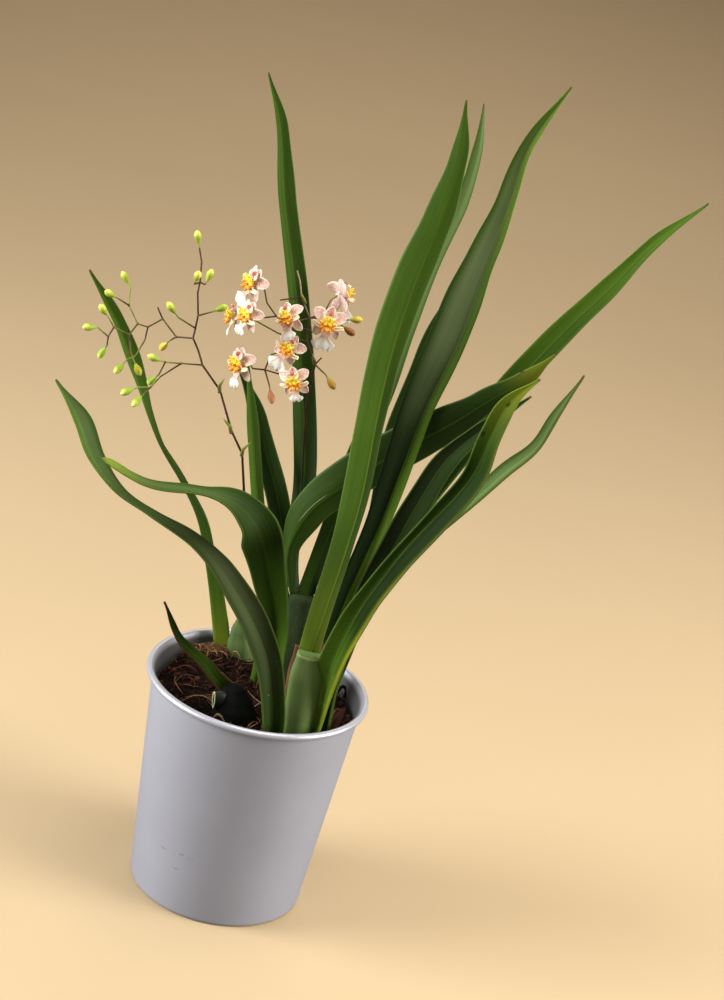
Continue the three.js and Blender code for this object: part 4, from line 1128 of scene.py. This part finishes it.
def budTube(points, tint):
    neck, tip = Vector(points[-2]), Vector(points[-1])
    start = neck.lerp(tip, 0.25)
    length = max((tip - start).length, spray["shortestBud"])
    end = start + (tip - neck).normalized() * length
    line = [start.lerp(end, share) for share in (0, 0.3, 0.65, 1)]
    bud = tube("bud", line, spray["budRadii"], 24, 14, spray["budRibs"], spray["ribDepth"])
    giveAll(bud, green=1, bud=1, tint=tint)
    return [stemTube([*points[:-1], line[1]], spray["twigRadii"], 0.3, 1), bud]


def nodeRing(point):  # the swollen place where a branch leaves
    x, y, z = point
    size = spray["nodeRadius"]
    return stemTube([(x, y, z - size), (x, y, z), (x, y, z + size)], [0.3, size, 0.3], 0.6, 0.6, 8, 6)


def makeSpray(name, form, bloomList):
    stem = stemTube(form["stem"], form["radii"], 0, 0.35, 10, 150)
    give(stem, "low", [span(form["low"], form["low"] - 0.1, share) for share in sharesOf(stem)])
    give(stem, "dry", [span(*form["dry"], share) for share in sharesOf(stem)])
    parts = [stem]
    for path in form["bracts"]:
        parts.append(stemTube(path, spray["bractRadii"], 0.55, 0.95, 8, 12))
    for path, tint in zip(form["stalks"], form["tints"]):
        parts += [*budTube(path, tint), nodeRing(path[0])]
    for path in form["twigs"]:
        parts += [stemTube(path, spray["twigRadii"], 0.15, 0.4), nodeRing(path[0])]
    for bloom in bloomList:
        place = bloomFrame(bloom)
        path = [*bloom["from"], place @ Vector(stalkNeck), place @ Vector(stalkEnd)]
        parts.append(stemTube(path, spray["twigRadii"], 0.3, 0.75))
    piece = joinUp(name + "Form", parts)
    smooth(piece, 60)
    return piece


stalkSkin = Finish("sprayFinish", Specular_IOR_Level=0.22)
tint = stalkSkin.attribute("tint")
blotch = stalkSkin.noise(stalkSkin.place(), 500, 3)
stemTone = stalkSkin.ramp(stalkSkin.attribute("green") + (blotch - 0.5) * 0.5, [
    (0, (0.014, 0.016, 0.005)), (0.14, (0.020, 0.009, 0.004)), (0.4, (0.075, 0.032, 0.010)),
    (0.7, (0.14, 0.13, 0.025)), (1.0, (0.26, 0.34, 0.04)),
])
stemTone = stalkSkin.coat(
    stemTone,
    (stalkSkin.attribute("low") * 0.9, (0.012, 0.020, 0.004)),
    (stalkSkin.attribute("dry") * (0.3 + blotch), (0.42, 0.30, 0.17)),
)
budTone = stalkSkin.ramp(tint, [
    (0, (0.27, 0.38, 0.03)), (0.35, (0.52, 0.40, 0.04)), (0.7, (0.40, 0.13, 0.02)), (1, (0.50, 0.17, 0.08)),
])
# the buds' paler yellow-lime tips: partly their own colour, partly a painted highlight
tipToneAndHighlight = stalkSkin.ramp(tint, [
    (0, (0.64, 0.70, 0.12)), (0.35, (0.75, 0.52, 0.09)), (0.7, (0.30, 0.07, 0.01)), (1, (0.60, 0.28, 0.15)),
])
budTone = stalkSkin.coat(
    budTone,
    (stalkSkin.step(stalkSkin.attribute("share"), 0.45, 0.95), tipToneAndHighlight),
    (stalkSkin.step(blotch, 0.45, 0.75) * 0.3, (0.22, 0.33, 0.03)),
)
stalkTone = stalkSkin.blend(stalkSkin.attribute("bud"), stemTone, budTone)
stalkSkin.paint(stalkTone, 0.38 + blotch * 0.15, blotch, 0.15, 0.15)
for name, form, bloomList in (("spray_budding", budding, []), ("spray_blooming", blooming, blooms)):
    settle(makeSpray(name, form, bloomList), stalkSkin.material, "spray", name)


lay("blooms")
petals = {
    "dorsal": {"spine": [(0, 1.6, -1.9), (0, 3.8, -1.8), (0, 6.8, -0.5)],
        "halfWidths": [1, 1.8, 2.1, 1.6, 0.5], "cup": 0.35},
    "petal": {"spine": [(0, 1.4, -1.9), (2.8, 2.9, -1.4), (6, 4.2, -3)],
        "halfWidths": [0.9, 1.7, 2.4, 2, 0.6], "cup": 0.3},
    "sepal": {"spine": [(0, 1, -2), (2.4, -1.8, -2.6), (4.3, -4.8, -3.6)],
        "halfWidths": [0.9, 1.5, 2.1, 1.8, 0.6], "cup": 0.3},
    "wing": {"spine": [(0.5, 3.0, 0.2), (1.7, 3.5, 0.9), (2.2, 4.6, 1.2)],
        "halfWidths": [0.6, 1, 0.5], "cup": 0.3},
}
columns = [  # path, radii and kind
    ([(0, 1.6, -2), (0, 3.4, -0.6), (0, 4.3, 0.9)], [1, 0.9, 1.2, 1.0], 1),
    ([(0, 4.0, 0.5), (0, 4.4, 1.2), (0, 4.7, 1.9)], [0.8, 0.95, 0.2], 2),
]
lip = {
    "bed": {"spine": [(0, 1.2, -0.7), (0, -1, -0.5), (0, -4.4, -0.5)],
        "halfWidths": [1.6, 2.5, 1.4], "cup": 0.1},
    "arm": {"spine": [(1.2, -1, -0.4), (3.4, -0.7, 0.1), (5.8, 0.2, -0.2)],
        "halfWidths": [0.9, 0.75, 0.65], "cup": 0.6},
    "skirt": {"top": -3.9, "bottom": -9.8, "halfWidths": [1.4, 1.5, 2.8, 4.2, 4.3, 3.6],
        "notch": 1.3, "corner": 1.6, "ruffle": 0.6},
}
thickness = {"petal": 0.4, "arm": 0.6, "skirt": 0.35}
petalForm = {"across": 8, "steps": 10, "tipFrom": 0.9, "tipShare": 0.1, "tipNarrowing": 0.45, "crumple": 0.6}


def thicken(piece, part):
    apply(piece, "SOLIDIFY", thickness=thickness[part] * mm, offset=0)
    apply(piece, "SUBSURF", levels=1, render_levels=1)
    return piece


def bloomPetal(shape, side, seed, kind=0, part="petal"):  # "kind" picks its colour in the finish
    path = Path([Vector(point) * Vector((side, 1, 1)) for point in shape["spine"]])
    form = petalForm

    def place(u, v):
        heading = path.heading(v)
        sideways = heading.cross(upward).normalized()
        reach = along(shape["halfWidths"], v)
        if v >= form["tipFrom"]:
            reach *= 1 - form["tipNarrowing"] * ((v - form["tipFrom"]) / form["tipShare"]) ** 2
        crumple = form["crumple"] * span(0.2, 1, v) * abs(u) * noise.noise(Vector((u * 2, v * 3, seed)))
        lift = shape["cup"] * reach * u * u + crumple
        return path.point(v) + sideways * u * reach + sideways.cross(heading) * lift

    piece, marks = laidGrid("petal", form["across"], form["steps"], place)
    giveEach(piece, marks, across=lambda u, v: u, share=lambda u, v: v)
    giveAll(piece, kind=kind)
    return thicken(piece, part)


def makeTepals():
    parts = [bloomPetal(petals["dorsal"], 1, 1)]
    for side in (1, -1):
        parts.append(bloomPetal(petals["petal"], side, 4 + side))
        parts.append(bloomPetal(petals["sepal"], side, 9 + side))
        parts.append(bloomPetal(petals["wing"], side, 14 + side, 1))
    for points, radii, kind in columns:
        parts.append(tube("column", points, radii, 14, 8))
        giveAll(parts[-1], kind=kind, across=0)
    return joinUp("tepalForm", parts)


def makeLip():
    parts = [bloomPetal(lip["bed"], 1, 20)]
    for side in (1, -1):
        parts.append(bloomPetal(lip["arm"], side, 22 + side, 1, "arm"))
    skirt = lip["skirt"]

    def place(u, v):
        edge = abs(u)
        notch = skirt["notch"] * max(1 - edge / 0.3, 0) * v ** 3
        y = skirt["top"] + (skirt["bottom"] - skirt["top"]) * v + notch + skirt["corner"] * edge ** 3 * v
        crumple = 0.6 * noise.noise(Vector((u * 3, v * 2, 5)))
        ruffle = skirt["ruffle"] * v ** 1.5 * (math.sin(u * 8.5) * edge + crumple)
        z = -0.5 + 0.9 * math.sin(min(v * 1.6, 1.2)) - 0.7 * v * v - 0.5 * edge * v + ruffle
        return Vector((u * along(skirt["halfWidths"], v), y, z))

    apron, marks = laidGrid("skirt", 22, 14, place)
    giveEach(apron, marks, across=lambda u, v: u, share=lambda u, v: v)
    giveAll(apron, kind=2)
    parts.append(thicken(apron, "skirt"))
    return joinUp("lipForm", parts)


callus = {
    "size": (2.1, 2.3, 1.4),
    "middle": (-0.1, 0.7),  # in y and z
    "warts": {"height": 0.16, "closeness": 3.4},
    "prongRadii": [0.72, 0.6, 0.32],
    "prongs": [  # foot and tip
        ((0, 1.6, 1.2), (0.1, 3.2, 3.2)), ((1, 1.4, 1.3), (2, 2.9, 3)), ((-1, 1.4, 1.3), (-2.1, 2.8, 2.9)),
        ((1.6, 0.5, 1.2), (3.1, 1.1, 2.4)), ((-1.6, 0.5, 1.2), (-3.1, 1, 2.5)),
        ((0.7, 0.3, 1.6), (0.9, 0.4, 3.2)), ((-0.7, 0.2, 1.6), (-1, 0.3, 3.1)),
        ((1.5, -0.6, 1), (2.8, -1, 1.9)), ((-1.5, -0.6, 1), (-2.8, -1.1, 1.9)),
        ((1, -1.5, 1.2), (1.7, -2.5, 2.2)), ((-1, -1.5, 1.2), (-1.6, -2.6, 2.2)),
        ((0, -1.2, 1.4), (0, -2, 2.9)),
    ],
}


def makeCallus():
    deselect()
    bpy.ops.mesh.primitive_uv_sphere_add(segments=28, ring_count=18, radius=1)
    body = bpy.context.object
    warts = callus["warts"]
    wide, high, deep = callus["size"]
    low, front = callus["middle"]
    for vertex in body.data.vertices:
        x, y, z = vertex.co
        bump = 1 + warts["height"] * noise.noise(Vector((x, y, z)) * warts["closeness"])
        vertex.co = Vector((x * wide * bump, y * high * bump + low, front + z * deep * bump)) * mm
    parts = [body]
    for foot, tip in callus["prongs"]:
        middle = (Vector(foot) + Vector(tip)) / 2
        parts.append(tube("prong", [foot, middle, tip], callus["prongRadii"], 10, 5))
    piece = joinUp("callusForm", parts)
    apply(piece, "REMESH", mode="VOXEL", voxel_size=0.2 * mm)
    apply(piece, "SMOOTH", factor=0.5, iterations=1)
    return piece


forms = {"tepals": makeTepals(), "lip": makeLip(), "callus": makeCallus()}
for form in forms.values():
    give(form, "own", [vertex.co.copy() / mm for vertex in form.data.vertices], "FLOAT_VECTOR")
    smooth(form, 65)

tepal = Finish("tepalFinish", Roughness=0.55, Subsurface_Weight=0.3,
    Subsurface_Radius=(0.003, 0.0016, 0.0012))
kind = tepal.attribute("kind")
own = tepal.attribute("own", "Vector")
mottle = tepal.noise(own, 1.1, 3)
veins = tepal.noise(tepal.place((3, 0.5, 1), own), 1.6, 3)
white = tepal.blend(tepal.step(mottle, 0.4, 0.7) * 0.35, (0.84, 0.75, 0.64), (0.74, 0.42, 0.34))
tone = tepal.coat(
    tepal.blend(tepal.step(mottle, 0.35, 0.65), (0.66, 0.40, 0.32), (0.82, 0.60, 0.49)),
    (tepal.step(abs(tepal.attribute("across")), 0.6, 1.0) * 0.75, (0.88, 0.78, 0.66)),
    (tepal.step(veins, 0.55, 0.75) * 0.4, (0.62, 0.27, 0.22)),
    (tepal.step(kind, 0.4, 0.6), white),
    (tepal.step(kind, 1.4, 1.6), (0.48, 0.12, 0.08)),
)
tepal.paint(tone, None, mottle, 0.1, 0.2)

lipFinish = Finish("lipFinish", Roughness=0.5, Subsurface_Weight=0.3,
    Subsurface_Radius=(0.002, 0.0015, 0.001))
kind = lipFinish.attribute("kind")
mottle = lipFinish.noise(lipFinish.attribute("own", "Vector"), 1.0, 3)
blush = lipFinish.step(lipFinish.attribute("share") + (mottle - 0.5) * 0.3, 0.4, 0.1)
armTone = lipFinish.blend(lipFinish.step(mottle, 0.4, 0.7), (0.93, 0.80, 0.52), (0.88, 0.66, 0.44))
skirtTone = lipFinish.blend(blush, (0.78, 0.75, 0.65), (0.74, 0.45, 0.34))
tone = lipFinish.coat(
    lipFinish.blend(lipFinish.step(mottle, 0.4, 0.65), (0.78, 0.48, 0.34), (0.9, 0.70, 0.52)),
    (lipFinish.step(kind, 0.4, 0.6), armTone),
    (lipFinish.step(kind, 1.4, 1.6), skirtTone),
)
lipFinish.paint(tone, None, mottle, 0.1, 0.2)

wax = Finish("callusFinish", Roughness=0.38, Coat_Weight=0.15)
own = wax.attribute("own", "Vector")
spots = wax.noise(own, 1.5, 2)
high = wax.add("ShaderNodeSeparateXYZ", {}, {"Vector": own}, 1)
tone = wax.blend(wax.step(high, -0.2, 1.8), (0.88, 0.36, 0.008), (0.95, 0.74, 0.05))
tone = wax.blend(wax.step(spots, 0.56, 0.66) * wax.step(high, 1.8, 0.2) * 0.8, tone, (0.72, 0.11, 0.01))
wax.paint(tone, None, spots, 0.15, 0.2)


def fitSkirt(piece, width, length):  # the skirt hangs from its top edge
    top = lip["skirt"]["top"]
    for vertex in piece.data.vertices:
        below = span(top, top - 1.5, vertex.co.y / mm)
        vertex.co.x *= 1 + (width - 1) * below
        vertex.co.y += (vertex.co.y - top * mm) * (length - 1) * below


bloomParts = [("tepals", tepal, "tepal"), ("lip", lipFinish, "lip"), ("callus", wax, "callus")]
for number, bloom in enumerate(blooms, 1):
    place = Matrix.Scale(mm, 4) @ bloomFrame(bloom) @ Matrix.Scale(1 / mm, 4)
    for part, finish, slot in bloomParts:
        twin = copyOf(forms[part], "bloom" + str(number) + part.title())
        if part == "lip":
            fitSkirt(twin, *bloom["skirt"])
        twin.data.transform(place)
        settle(twin, finish.material, slot, "bloom_" + str(number) + "_" + part)
for form in forms.values():
    bpy.data.objects.remove(form)


lay("cut stub")
stub = {
    "path": [(-5, -21, 92), (-9.5, -23.5, 96.5), (-13, -25.5, 98.6), (-15.6, -26.8, 98.4)],
    "radii": [3.2, 3.6, 3.7],
    "flat": 0.42,
    "rim": 0.55,
    "hollow": 1.4,
}
stump = tube("stubForm", stub["path"], stub["radii"], 28, 16, flat=stub["flat"])
cutEnd = Vector(stub["path"][-1])
outward = (cutEnd - Vector(stub["path"][-2])).normalized()


def capFaces(reach):  # the faces that close the cut end
    return [face for face in stump.data.polygons
        if len(face.vertices) > 4 and (face.center / mm - cutEnd).length < reach]


openEdit(stump, "DESELECT")
bpy.ops.mesh.select_mode(type="FACE")
closeEdit()
for face in capFaces(0.8):
    face.select = True
bpy.ops.object.mode_set(mode="EDIT")
bpy.ops.mesh.inset(thickness=stub["rim"] * mm)
bpy.ops.mesh.extrude_region_move(TRANSFORM_OT_translate={"value": -outward * stub["hollow"] * mm})
closeEdit()
give(stump, "depth", [(vertex.co / mm - cutEnd).dot(outward) for vertex in stump.data.vertices])
hollow = {index for face in capFaces(stub["hollow"] + 1) for index in face.vertices}
give(stump, "hollow", [float(vertex.index in hollow) for vertex in stump.data.vertices])
smooth(stump, 50)
cut = Finish("cutStub", Roughness=0.5)
grain = cut.noise(cut.place(), 600, 3)
tone = cut.blend(cut.step(cut.attribute("depth"), -0.35, -0.05), (0.006, 0.012, 0.004), (0.40, 0.45, 0.22))
tone = cut.blend(cut.attribute("hollow") * 0.9, tone, (0.035, 0.055, 0.015))
settle(stump, cut.paint(tone, None, grain, 0.2, 0.2), "stub", "leaf_stub")

lay("done")
